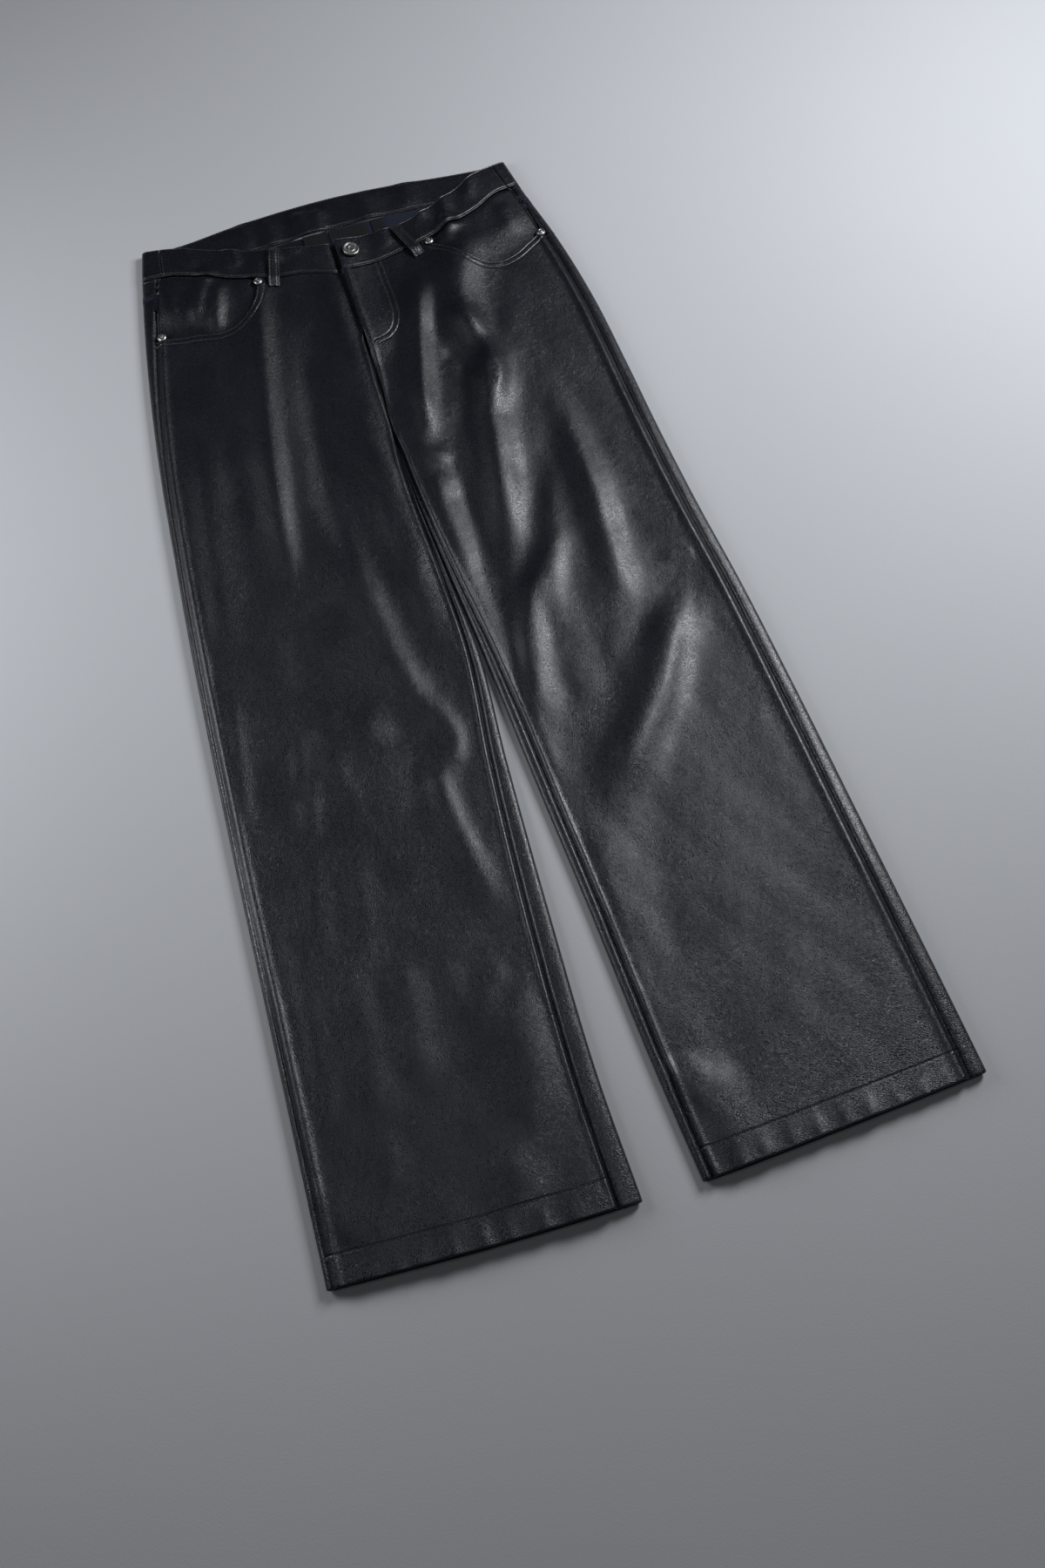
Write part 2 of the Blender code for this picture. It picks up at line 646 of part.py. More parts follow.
def build_waistband():
    """Back waistband round both sides, and the two front ones."""
    strip = STRIP_END * np.array([0.0, 0.25, 0.45, 0.62, 0.76, 0.89])
    roll = STRIP_END + np.array([0.0, 5.0, 11.0, 17.5, 30.0])
    even = np.linspace(STRIP_END + 60.0, SPAN / 2, 6)
    to_middle = np.concatenate([strip, roll, even])
    stations = np.concatenate([to_middle, SPAN - to_middle[-2::-1]])
    rows = np.linspace(0.0, SPAN, BAND_ROWS)
    wall("waistband_back", back_band, stations, rows, BAND)
    for half, count in ((RIGHT, RIGHT_BAND_COLUMNS), (LEFT, LEFT_BAND_COLUMNS)):
        columns = np.linspace(0.0, SPAN, count)
        wall(f"waistband_front_{half.name}", front_band(half), columns, rows, BAND)


def build_pockets():
    """The facings that close the scooped front pockets."""
    for half, scoop in ((RIGHT, RIGHT_SCOOP), (LEFT, LEFT_SCOOP)):
        columns = np.linspace(0.0, SPAN, FACING_COLUMNS)
        rows = np.linspace(0.0, SPAN, FACING_ROWS)
        wall(f"pocket_facing_{half.name}", pocket_facing(half, scoop), columns, rows, LEATHER)


def build_fly():
    """The closed zip, plain, under both fronts' edges."""

    def surface(u, v):
        y = across(*ZIP_Y, v, False)
        x = RIGHT.at("inner", y) + across(*ZIP_X, u, False)
        return x, y, RIGHT.height(x, y) - LEATHER - LAP_GAP

    columns = np.linspace(0.0, SPAN, ZIP_COLUMNS)
    rows = np.linspace(0.0, SPAN, ZIP_ROWS)
    wall("fly_zip", surface, columns, rows, ZIP_WALL, CLOTH_LOOK)


def build_loops():
    """Belt loops over the waistband: each bows up between its seated ends."""
    for half, (name, (top, foot)) in zip((RIGHT, LEFT), LOOPS.items()):
        top, foot = np.array(top, float), np.array(foot, float)
        along = top - foot
        side = np.array([along[1], -along[0]]) / np.linalg.norm(along)

        def surface(u, v, half=half, foot=foot, along=along, side=side):
            share = v / SPAN
            offset = (u / SPAN - 0.5) * LOOP_WIDTH
            x = foot[0] + along[0] * share + side[0] * offset
            y = foot[1] + along[1] * share + side[1] * offset
            onto_band = smoothstep(share / LOOP_END)
            bow = LOOP_BULGE * onto_band * smoothstep((1.0 - share) / LOOP_END)
            seat = lying_on(half, x, y) + BAND_PROUD * onto_band + LOOP_SEAT
            return x, y, seat + LOOP_WALL + bow

        columns = np.linspace(0.0, SPAN, LOOP_COLUMNS)
        wall(name, surface, columns, np.linspace(0.0, SPAN, LOOP_ROWS), LOOP_WALL)


def turned(name, profile, place, half, segments, proud):
    """A round piece turned from its profile, standing square on the top face."""
    x, y = (np.array(value, float) for value in place)
    step = SLOPE_STEP
    slope_x = (lying_on(half, x + step, y) - lying_on(half, x - step, y)) / (2 * step)
    slope_y = (lying_on(half, x, y + step) - lying_on(half, x, y - step)) / (2 * step)
    mesh = bpy.data.meshes.new(name)
    points = [(radius * MM, 0.0, height * MM) for radius, height in profile]
    mesh.from_pydata(points, [(i, i + 1) for i in range(len(points) - 1)], [])
    obj = new_object(name, mesh, METAL_LOOK)
    screw = obj.modifiers.new("Turn", "SCREW")
    screw.steps = segments
    screw.render_steps = segments
    screw.use_merge_vertices = True
    screw.merge_threshold = 0.00001
    obj.location = Vector((float(x), float(y), float(lying_on(half, x, y) + proud))) * MM
    normal = Vector((-float(slope_x), -float(slope_y), 1.0))
    obj.rotation_mode = "QUATERNION"
    obj.rotation_quaternion = normal.to_track_quat("Z", "Y")
    return obj


def build_metalwork():
    """The waist button and the four pocket rivets."""
    turned("button", BUTTON_PROFILE, BUTTON_AT, LEFT, BUTTON_SEGMENTS, BAND_PROUD)
    for number, place in enumerate(RIVETS_AT, start=1):
        half = RIGHT if place[0] < 0 else LEFT
        turned(f"rivet_{number}", RIVET_PROFILE, place, half, RIVET_SEGMENTS, RIVET_SEAT)


def build_labels():
    """Label and size tag, bare, on the inner face of the yokes below the back waistband."""
    for name, xs, ys in (("label", LABEL_X, LABEL_Y), ("size_tag", TAG_X, TAG_Y)):

        def surface(u, v, xs=xs, ys=ys):
            x, y = across(*xs, u, False), across(*ys, v, False)
            return x, y, LEATHER + SEAM_GAP + LABEL_WALL + 0.0 * u * v

        ends = np.linspace(0.0, SPAN, 3)
        wall(name, surface, ends, ends, LABEL_WALL, CLOTH_LOOK)


def centre_on_origin():
    """Move every piece so that the middle of the garment's box lies over the origin."""
    bpy.context.view_layer.update()
    graph = bpy.context.evaluated_depsgraph_get()
    pieces = bpy.data.collections[COLLECTION].objects
    corners = []
    for obj in pieces:
        evaluated = obj.evaluated_get(graph)
        corners += [evaluated.matrix_world @ Vector(corner) for corner in evaluated.bound_box]
    corners = np.array(corners)
    middle = (corners.min(axis=0) + corners.max(axis=0)) / 2
    for obj in pieces:
        obj.location -= Vector((middle[0], middle[1], 0.0))


def main():
    for obj in list(bpy.data.objects):
        bpy.data.objects.remove(obj, do_unlink=True)
    collection = bpy.data.collections.new(COLLECTION)
    bpy.context.scene.collection.children.link(collection)
    build_legs()
    build_pockets()
    build_fly()
    build_waistband()
    build_loops()
    build_metalwork()
    build_labels()
    centre_on_origin()


main()
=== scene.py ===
"""Finished look of a pair of leather trousers laid flat on a studio floor.

Each half of the garment is a flattened tube, and its panels are shells on that form, with the
folds laid in as soft ridges and troughs. Tables are in millimetres, with X to the
wearer's left, Y from the hem to the waist and Z up from the floor.
"""

import math

import bmesh
import bpy
import numpy as np
from bpy.props import FloatProperty, FloatVectorProperty, IntProperty, PointerProperty
from mathutils import Matrix, Vector


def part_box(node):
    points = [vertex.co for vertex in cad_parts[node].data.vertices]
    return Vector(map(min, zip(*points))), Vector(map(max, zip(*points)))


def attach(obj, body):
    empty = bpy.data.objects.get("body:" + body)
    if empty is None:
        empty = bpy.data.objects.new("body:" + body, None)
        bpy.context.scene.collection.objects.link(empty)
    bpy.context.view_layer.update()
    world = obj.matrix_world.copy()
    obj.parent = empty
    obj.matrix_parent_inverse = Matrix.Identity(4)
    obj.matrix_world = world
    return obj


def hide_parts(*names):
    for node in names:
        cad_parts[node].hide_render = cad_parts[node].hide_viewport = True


bl_info = {
    "name": "Leather Trousers",
    "version": (1, 0, 0),
    "blender": (4, 5, 0),
    "location": "View3D > Sidebar > Trousers",
    "description": "Leather trousers laid flat, with stitching, metalwork and a studio floor",
    "category": "Add Mesh",
}

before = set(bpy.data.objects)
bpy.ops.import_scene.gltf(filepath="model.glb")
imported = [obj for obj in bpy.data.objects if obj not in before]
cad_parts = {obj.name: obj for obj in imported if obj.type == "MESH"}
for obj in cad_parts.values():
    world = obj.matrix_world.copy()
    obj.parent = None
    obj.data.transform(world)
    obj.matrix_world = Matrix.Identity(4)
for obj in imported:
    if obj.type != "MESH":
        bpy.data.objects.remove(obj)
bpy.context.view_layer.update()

MM = 0.001
LABEL_X = (-34.0, 32.0)
LABEL_Y = (993.0, 1033.5)
LABEL_WALL = 0.8
LABEL_CLOTH = 0.5
LABEL_HEIGHT = 1.5  # of its underside, over the floor
LABEL_WAVE_HEIGHT = 0.5
LABEL_WAVE_PACE = 0.13  # radians a millimetre
TAG_X = (38.5, 50.5)
TAG_Y = (1019.0, 1034.5)
label_low, label_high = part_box("label")
# from the tables' frame to the part's own
SHIFT = np.array(
    [
        (label_low.x + label_high.x) / 2 - sum(LABEL_X) / 2 * MM,
        (label_low.y + label_high.y) / 2 - sum(LABEL_Y) / 2 * MM,
        0.0,
    ]
)

# ---------------------------------------------------------------- the pattern

SEAM_GAP = 0.3
INSEAM_GAP = 0.5
FACING_GAP = 2.2
ROLL = 5.0  # how far a folded edge curves inwards before it is flat
LEAST = 3.6  # the top face's height stays between these two
MOST = 22.0
SOFT = 0.8
EDGE_FALL = 38.0  # how far from a folded edge the large folds reach their height
SMALL_FALL = 12.0  # the same for the small ones
UNEVENNESS = ((0.32, 46.0, 3), (0.13, 15.0, 4))  # height, length and seed of each
UNEVEN_WAVES = 6
UNEVEN_RANGE = (0.7, 1.5)  # shares of the length that the waves take

CROTCH_Y = 782.0
CROTCH_RISE = 62.0
INSEAM_FADE = 45.0
SEAM_MARGIN = 4.0

FLY_END_Y = 868.0
FLY_LAP = 8.0
FLY_LIFT = 4.2
FLY_REACH = 36.0
FLY_EDGE_LIFT = 2.6
FLY_EDGE_WIDTH = 2.6
FLY_RUN_IN = 26.0
FLY_RUN = 34.0
LAP_START = 12.0
LAP_RUN = 20.0
BAND_PROUD = 0.9
BAND_RADIUS = 1.3
BAND_END_STEP = 2.6
BAND_TOP_HEIGHT = 5.0  # what is higher belongs to the strips on top
BAND_UNDERLAP = 24.0
BAND_UNDERLAP_DROP = 3.4

SECTION_COLUMNS = ("y", "outer", "inner", "outer_strip", "inner_strip", "edge", "middle")
# outer_strip and inner_strip: back leather that shows on top, measured round the fold
RIGHT_SECTIONS = (
    (0, -283.5, -27.0, 6.4, 22.8, 8.6, 10.6),
    (100, -279.0, -28.3, 6.9, 21.5, 8.2, 8.8),
    (250, -272.0, -22.0, 6.9, 20.5, 8.0, 7.6),
    (400, -265.0, -13.2, 6.9, 16.5, 8.0, 7.4),
    (520, -258.5, -4.4, 7.4, 11.5, 8.2, 7.6),
    (600, -253.5, -7.9, 7.8, 8.0, 8.4, 7.8),
    (700, -245.5, -12.9, 7.8, 5.0, 8.6, 8.2),
    (782, -238.6, -12.3, 8.8, 3.0, 8.6, 8.8),
    (870, -228.5, -8.2, 10.8, 2.0, 8.4, 9.6),
    (960, -215.0, -8.0, 15.0, 2.0, 8.2, 11.4),
    (1022, -203.5, -7.6, 18.8, 2.0, 8.2, 12.4),
    (1080, -191.0, -7.6, 20.0, 2.0, 8.2, 11.0),
)
LEFT_SECTIONS = (
    (0, 277.0, 24.0, 18.8, 10.5, 8.6, 10.6),
    (100, 272.5, 17.6, 17.8, 11.6, 8.2, 8.8),
    (250, 264.8, 11.2, 17.8, 12.0, 8.0, 7.6),
    (400, 257.0, 3.4, 16.8, 12.6, 8.0, 7.4),
    (520, 249.2, -1.6, 15.8, 11.0, 8.2, 7.6),
    (600, 241.8, -6.9, 15.8, 8.0, 8.4, 7.8),
    (700, 235.2, -12.1, 15.3, 5.0, 8.6, 8.2),
    (782, 231.6, -11.6, 14.8, 3.0, 8.6, 8.8),
    (870, 226.5, -7.7, 13.8, 2.0, 8.4, 9.6),
    (960, 214.2, -7.5, 12.8, 2.0, 8.2, 11.4),
    (1022, 201.0, -7.1, 12.4, 2.0, 8.2, 12.4),
    (1080, 191.0, -7.1, 12.0, 2.0, 8.2, 11.0),
)

HEM = ((-283.5, 9.0), (-150, 2.0), (-27, 0.0), (24, 0.0), (150, 6.0), (277, 14.0))
FRONT_BAND_TOP = (
    (-196, 1058), (-178, 1054), (-137, 1040), (-101, 1027), (-64, 1018), (-7, 1009.5),
    (30, 1009.5), (68, 1014), (98, 1025), (128, 1039), (158, 1056), (193.5, 1066.5),
)
FRONT_BAND_FOOT = (
    (-203.5, 1022), (-180, 1018), (-137, 1003), (-101, 989.5), (-78, 983.5), (-45, 979.5),
    (-7, 970), (31, 972.5), (67, 981), (94, 989), (120, 998.5), (147, 1009.5),
    (170, 1023), (197, 1031.5),
)
BACK_BAND_TOP = (
    (-196, 1058), (-155, 1060), (-103, 1068), (-47, 1074), (7, 1076.5), (73, 1074.5),
    (140, 1069), (193.5, 1066.5),
)
BACK_BAND_FOOT = (
    (-203.5, 1022), (-150, 1025), (-47, 1033), (0, 1036.5), (66, 1037), (120, 1035.5),
    (197, 1031.5),
)
YOKE_FOOT = ((-210, 999), (-110, 984), (-8, 972), (100, 988), (206, 1009))
YOKE_EDGE_Y = 1004.0

RIGHT_SCOOP = (
    (-212, 943), (-198, 941.5), (-180, 938), (-163, 936.5), (-144, 933), (-131, 935),
    (-114, 945), (-101, 960), (-93, 981),
)
LEFT_SCOOP = (
    (84, 983), (100, 970), (114, 953), (128, 942.5), (147, 937), (167, 941.5),
    (184, 952), (200, 962), (212, 965),
)
FACING_TUCK = 12.0
FACING_SIDE_TUCK = 5.0
FACING_RISE_FROM = 4.0
FACING_RISE = 34.0
FACING_EDGE_GAP = 0.5
FACING_TOP_GAP = 0.4
FACING_WALL = 1.2

RIGHT_BAND_SEAM = ((1018, -182.4), (1036, -180.4), (1054, -178.3))
LEFT_BAND_SEAM = ((1028, 186.0), (1046, 182.0), (1064, 178.0))

FOLD_COLUMNS = ("start", "bend", "end", "height", "left", "right")
FOLD_POINTS = 13  # along a fold's curve
FOLD_REACH = 2.7  # widths from the curve at which a fold has run out
FOLD_FADE = 0.3  # share of its length over which it rises at either end
# A soft ridge on a curve through three points: its height, and its width to each side.
# Minus heights are troughs. Seen along the curve from its start, left is the left hand.
FOLDS = (
    # right front, from the pocket down
    ((-82, 1038), (-125, 824), (-157, 605), 6.8, 13, 16),
    ((-55, 960), (-86, 737), (-79, 592), -4.2, 32, 16),
    ((-20, 875), (-23, 656), (-27, 489), 6.5, 10, 26),
    ((-85, 724), (-83, 559), (-60, 451), 4.6, 15, 24),
    ((-22, 984), (-23, 903), (-26, 799), 4.0, 15, 18),
    ((-179, 488), (-143, 466), (-91, 463), 3.6, 26, 15),
    ((-184, 842), (-210, 691), (-234, 551), 3.6, 20, 16),
    ((-233, 584), (-249, 470), (-265, 344), 3.6, 15, 14),
    ((-227, 340), (-240, 223), (-253, 107), 3.2, 17, 17),
    ((-196, 289), (-202, 207), (-210, 115), 3.4, 18, 18),
    ((-152, 267), (-160, 198), (-166, 127), 2.6, 15, 17),
    ((-73, 218), (-79, 137), (-86, 61), 4.4, 26, 26),
    ((-161, 630), (-160, 561), (-170, 488), -2.4, 24, 22),
    # left front, from the fly and the pocket down
    ((102, 1012), (112, 1002), (108, 985), 3.5, 10, 12),
    ((123, 988), (100, 915), (82, 832), 8.5, 17, 24),
    ((69, 956), (37, 842), (15, 736), 8.2, 11, 15),
    ((58, 846), (72, 832), (80, 806), -1.8, 8, 8),
    ((88, 900), (103, 830), (88, 752), 7.0, 15, 13),
    ((104, 852), (81, 744), (53, 587), 9.2, 18, 14),
    ((-8, 742), (12, 733), (38, 718), 2.6, 10, 12),
    ((16, 708), (30, 643), (21, 534), -3.5, 18, 20),
    ((14, 714), (8, 655), (-2, 560), 4.5, 17, 9),
    ((153, 780), (150, 640), (134, 505), 6.0, 15, 15),
    ((178, 560), (208, 553), (218, 553), 1.3, 12, 6),
    ((125, 623), (48, 526), (19, 363), 5.7, 18, 12),
    ((195, 531), (138, 426), (42, 322), 8.6, 20, 22),
    ((203, 506), (152, 416), (104, 350), -1.6, 22, 18),
    ((66, 328), (31, 263), (64, 203), 2.5, 23, 27),
    ((36, 108), (47, 79), (90, 63), 2.9, 17, 25),
)
# Folds and creases that keep their height closer to the edges
CREASES = (
    # right front
    ((-115, 821), (-133, 721), (-147, 625), 1.2, 7, 8),
    ((-103, 975), (-120, 873), (-140, 766), -1.4, 9, 11),
    ((-72, 487), (-51, 437), (-76, 403), 3.2, 10, 15),
    ((-72, 428), (-75, 362), (-59, 255), 3.6, 11, 18),
    ((-84, 445), (-91, 405), (-91, 354), -1.7, 11, 15),
    ((-185, 479), (-190, 442), (-194, 412), -1.6, 8, 8),
    ((-186, 448), (-190, 411), (-200, 368), 2.0, 10, 11),
    ((-160, 463), (-158, 426), (-149, 382), 1.7, 12, 13),
    ((-201, 378), (-209, 317), (-219, 253), 1.7, 12, 13),
    ((-161, 366), (-172, 305), (-182, 241), 1.3, 11, 13),
    ((-226, 533), (-241, 458), (-252, 380), 1.2, 8, 10),
    ((-258, 301), (-266, 177), (-274, 63), 1.6, 9, 8),
    ((-118, 244), (-117, 208), (-119, 177), 1.3, 10, 13),
    ((-68, 224), (-95, 201), (-115, 156), 1.6, 10, 13),
    ((-120, 79), (-114, 48), (-113, 15), 2.3, 17, 17),
    ((-267, 97), (-263, 63), (-260, 34), 1.7, 16, 13),
    ((-211, 123), (-209, 93), (-211, 64), 1.3, 11, 13),
    ((-28, 774), (-24, 681), (-22, 603), 1.3, 8, 10),
    ((-174, 820), (-172, 764), (-163, 700), -0.9, 16, 16),
    ((-17, 602), (-16, 538), (-26, 470), 1.6, 8, 10),
    # beside the fly's edge
    ((-11, 1012), (-12.5, 930), (-14, 850), -1.2, 4, 12),
    # pocket facings and front waistbands
    ((-128, 1018), (-153, 982), (-163, 944), 4.8, 9, 9),
    ((-128, 1000), (-139, 966), (-149, 930), 4.2, 8, 9),
    ((-190, 1018), (-186, 985), (-190, 952), 2.4, 9, 8),
    ((116, 1012), (108, 992), (99, 970), 3.0, 9, 8),
    ((166, 1010), (172, 990), (168, 966), 1.6, 10, 9),
    ((112, 1064), (114, 1036), (111, 1006), 3.0, 8, 8),
    ((86, 1052), (89, 1030), (87, 1006), 2.2, 6, 7),
    ((150, 1070), (147, 1046), (140, 1020), 2.2, 9, 8),
    ((-110, 1056), (-109, 1026), (-111, 996), 3.0, 8, 8),
    ((-152, 1060), (-154, 1038), (-152, 1012), 1.8, 9, 8),
    ((-66, 1046), (-70, 1020), (-66, 994), 2.0, 9, 8),
    ((40, 1024), (44, 1004), (42, 982), 1.6, 9, 8),
    ((-122, 1041), (-113, 1041.5), (-105, 1040), -1.1, 3, 3),
    ((-48, 1034), (-50, 1018), (-46, 1000), 1.3, 9, 8),
    # left front
    ((-15, 873), (80, 928), (175, 983), 0.5, 26, 26),
    ((-19, 873), (76, 928), (171, 983), 2.0, 26, 26),
    ((-23, 873), (72, 928), (167, 983), 0.5, 26, 26),
    ((66, 780), (121, 876), (175, 972), -0.5, 10, 12),
    ((183, 761), (88, 816), (-7, 871), 0.5, 18, 18),
    ((52, 713), (107, 808), (164, 903), 0.6, 9, 9),
    ((51, 747), (103, 800), (157, 853), 0.5, 8, 8),
    ((21, 705), (76, 800), (132, 895), -0.7, 12, 12),
    ((-36, 725), (60, 780), (156, 835), 0.5, 12, 12),
    ((164, 646), (163, 756), (164, 866), -0.7, 12, 12),
    ((8, 645), (7, 755), (8, 866), 0.7, 26, 26),
    ((8, 622), (8, 732), (8, 842), 0.8, 18, 18),
    ((5, 613), (8, 724), (8, 834), 0.8, 14, 14),
    ((53, 625), (130, 704), (209, 782), -0.7, 27, 27),
    ((2, 667), (108, 695), (214, 725), -0.7, 27, 27),
    ((37, 621), (132, 676), (227, 731), -0.5, 26, 26),
    ((46, 564), (99, 660), (154, 756), -0.7, 12, 12),
    ((216, 550), (216, 660), (216, 770), 0.7, 26, 26),
    ((216, 534), (216, 644), (215, 755), 0.7, 18, 18),
    ((56, 529), (83, 636), (114, 743), -0.9, 12, 12),
    ((31, 522), (33, 632), (34, 742), -0.9, 6, 8),
    ((27, 509), (31, 619), (32, 731), -0.6, 11, 11),
    ((66, 490), (95, 596), (126, 702), 0.9, 8, 9),
    ((-6, 563), (100, 592), (206, 621), -0.5, 12, 12),
    ((-2, 584), (108, 584), (218, 584), -0.7, 26, 26),
    ((175, 460), (174, 570), (176, 682), -0.8, 24, 24),
    ((172, 426), (173, 536), (172, 646), -0.7, 26, 26),
    ((28, 422), (28, 532), (28, 642), -0.6, 12, 12),
    ((226, 421), (226, 532), (223, 643), 0.7, 12, 11),
    ((24, 453), (24, 528), (25, 603), -0.6, 7, 9),
    ((103, 459), (140, 524), (178, 589), 0.5, 12, 12),
    ((28, 414), (28, 524), (28, 634), -0.6, 12, 12),
    ((228, 390), (228, 500), (228, 610), 0.6, 12, 12),
    ((103, 386), (101, 496), (105, 607), -0.7, 13, 13),
    ((55, 377), (62, 489), (66, 599), -0.6, 9, 8),
    ((62, 410), (141, 487), (218, 566), -0.5, 12, 12),
    ((142, 403), (180, 469), (218, 533), -0.6, 7, 7),
    ((229, 354), (227, 465), (228, 575), 0.6, 19, 16),
    ((25, 334), (24, 408), (23, 483), 0.8, 8, 6),
    ((236, 282), (235, 392), (236, 502), 0.5, 26, 26),
    ((176, 274), (175, 384), (176, 494), -0.5, 18, 18),
    ((56, 274), (28, 380), (-0, 486), 0.6, 12, 12),
    ((241, 253), (236, 364), (231, 475), 0.8, 6, 7),
    ((51, 265), (129, 343), (206, 423), -0.8, 26, 27),
    ((231, 225), (229, 338), (231, 453), 0.8, 31, 26),
    ((26, 280), (132, 308), (238, 336), -0.5, 26, 26),
    ((240, 166), (240, 276), (240, 386), 0.7, 27, 26),
    ((63, 164), (93, 272), (122, 380), -0.8, 26, 28),
    ((265, 162), (236, 268), (207, 374), 0.7, 27, 26),
    ((57, 149), (83, 256), (112, 362), -0.5, 12, 13),
    ((241, 112), (244, 224), (238, 336), 0.8, 11, 11),
    ((36, 105), (34, 216), (37, 327), 0.8, 9, 7),
    ((228, 97), (231, 209), (228, 320), 0.7, 27, 27),
    ((240, 50), (240, 160), (240, 270), 0.5, 26, 26),
    ((236, 46), (236, 156), (236, 266), 0.5, 26, 26),
    ((78, 42), (75, 152), (74, 262), -0.8, 16, 21),
    ((64, 38), (92, 144), (120, 251), -0.6, 26, 26),
    ((34, 54), (112, 132), (190, 210), -0.5, 26, 26),
    ((34, 50), (112, 128), (190, 206), -0.5, 26, 26),
    ((49, 21), (104, 116), (159, 212), -0.5, 26, 27),
    ((62, 33), (40, 72), (18, 111), 1.0, 8, 8),
    ((58, 35), (168, 35), (278, 37), -0.5, 19, 19),
)
# Folds of the back waistband, seen on its inner face, from this far round the ring
BACK_BAND_FOLDS_FROM = 20.0
BACK_BAND_FOLDS = (
    ((-33, 1072), (-31, 1046), (-30, 1016), 4.0, 10, 9),
    ((-10, 1070), (-14, 1048), (-18, 1020), 3.0, 8, 9),
    ((-96, 1070), (-92, 1052), (-94, 1026), 2.4, 10, 9),
    ((-66, 1070), (-64, 1050), (-69, 1022), 2.0, 9, 8),
    ((34, 1074), (38, 1052), (36, 1024), 2.2, 11, 9),
    ((80, 1078), (84, 1058), (82, 1036), 1.8, 11, 9),
)
# The free edge of each hem lifts in a few uneven waves: middle, half width, height
HEM_WAVES = (
    (-238, 26, 1.6), (-176, 24, 2.6), (-118, 22, 2.0), (-62, 22, 2.8),
    (66, 24, 3.0), (118, 20, 1.6), (168, 22, 2.4), (226, 20, 1.4),
)
HEM_WAVE_REACH = 70.0
# Puckers across the hem's stitching: middle, half width, height
HEM_PUCKERS = (
    (-264, 7, 0.7), (-245, 7, 0.9), (-225, 6, 0.8), (-206, 6, 1.5), (-181, 6, 1.7),
    (-155, 6, 1.7), (-135, 5, 1.5), (-106, 6, 1.5), (-80, 9, 1.7), (-56, 6, 0.8),
    (36, 6, 0.9), (58, 6, 1.3), (80, 6, 1.6), (104, 6, 1.3), (127, 5, 1.7),
    (150, 6, 1.5), (173, 6, 1.7), (197, 5, 1.4), (220, 6, 1.3), (242, 6, 1.0),
)
HEM_STITCH = 25.0
HEM_TUCK = 2.0  # the turned-in layer ends this far under the stitches
PUCKER_REACH = 17.0

# Topstitched rows: the fly's outer one, and the one beside the seam under it
FLY_ROW = (
    (33.3, 974), (33.3, 945), (33.2, 915), (31.4, 898), (25.5, 884.5), (16, 876), (3, 871.5),
)
RISE_ROW = ((-2.5, 868), (-3.5, 846), (-5.0, 822), (-6.5, 800))
FLY_BAR = ((-4.0, 871.5), (5.0, 871.5))

# Ends of the straight rows, the right half's first
HEM_ROWS = ((-276, -51), (36, 257))
BAND_ROWS = ((-194, -8), (-4, 191))
BAND_UPRIGHTS = ((1021, 1051), (1030, 1060))
UPRIGHT_INSET = 1.8
BACK_BAND_ROW = (-165, 176)
BACK_BAND_ROW_HEIGHT = 2.7
BUTTONHOLE = (14.0, 23.5)
BUTTONHOLE_Y = 988.6
BUTTONHOLE_SLOPE = -0.08
YOKE_ROW_STARTS = (1005.0, 1009.0)
YOKE_ROW_STEP = 2.7
YOKE_ROW_COUNT = 4
YOKE_ROW_INSETS = (2.0, 3.5)
LOOP_BAR_INSET = 2.0
LOOP_ROW_INSET = 1.5

BUTTON_AT = (6.5, 990.0)
RIVETS_AT = ((-92.5, 980.0), (-200.0, 943.5), (86.5, 981.0), (200.0, 961.0))
RIVET_PROUD = 0.7
LOOP_WIDTH = 11.0
LOOP_WALL = 2.0
LOOP_BULGE = 2.6
LOOP_END = 0.2
LOOP_SEAT = 0.3
LOOPS = {
    "belt_loop_right": ((-67, 1017), (-78, 971)),
    "belt_loop_left": ((57, 1010), (73, 966)),
}

# What each panel's cut is, in metres, and which way its outer side faces round the ring
FRONT_CUT = {"flat": (0.27, 1.06), "area": 0.27, "faces": 1.0}
BACK_CUT = {"flat": (0.33, 1.05), "area": 0.29, "faces": -1.0}
YOKE_CUT = {"flat": (0.23, 0.075), "area": 0.0105, "faces": -1.0}
FACING_CUT = {"flat": (0.13, 0.115), "area": 0.0085, "faces": 1.0}

# Insets are kept with this added, so that a piece without one counts as far off
INSET_ZERO = 20.0
ROW_INSETS = (2.2, 7.6)  # topstitched rows, from the edge they follow
FAR_INSET = 60.0  # where a panel has no such edge near
POCKET_INSET_Y = 860.0  # a pocket's rows and the fly's are above these
FLY_INSET_Y = 790.0

# ---------------------------------------------------------------- stations of the grids

SETTLE = 4  # rounds that settle a point's x and y on a curved line
STEP = 0.4  # step over the surface that gives a normal
SLOPE_STEP = 4.0  # the same for a piece of metal's seat
STITCH_SLOPE_STEP = 0.6
FRONT_START_Y = 975.0  # where settling starts
BACK_START_Y = 500.0
FLOW_STEP = 2.5
ROW_STEP = 3.0
UPRIGHT_STEP = 2.0
# Columns and rows between a piece's edges
FRONT_GRID = (92, 344)
FACING_GRID = (44, 34)
BAND_GRID = (84, 20)
LOOP_GRID = (26, 7)
LABEL_GRID = (30, 16)
BACK_ROWS = 300
YOKE_ROWS = 10
# A seam's edge: stations, where the ridge beside it is highest, and shares of its height
SEAM_OFFSETS = (0.0, 0.4, 0.9, 1.5, 2.3, 3.3, 4.4, 5.7, 7.2, 9.0, 11.0, 13.5)
OUTER_CREST = 6.5
INNER_CREST = 4.0
INNER_SWELL = 0.7
BACK_SWELL = 0.25
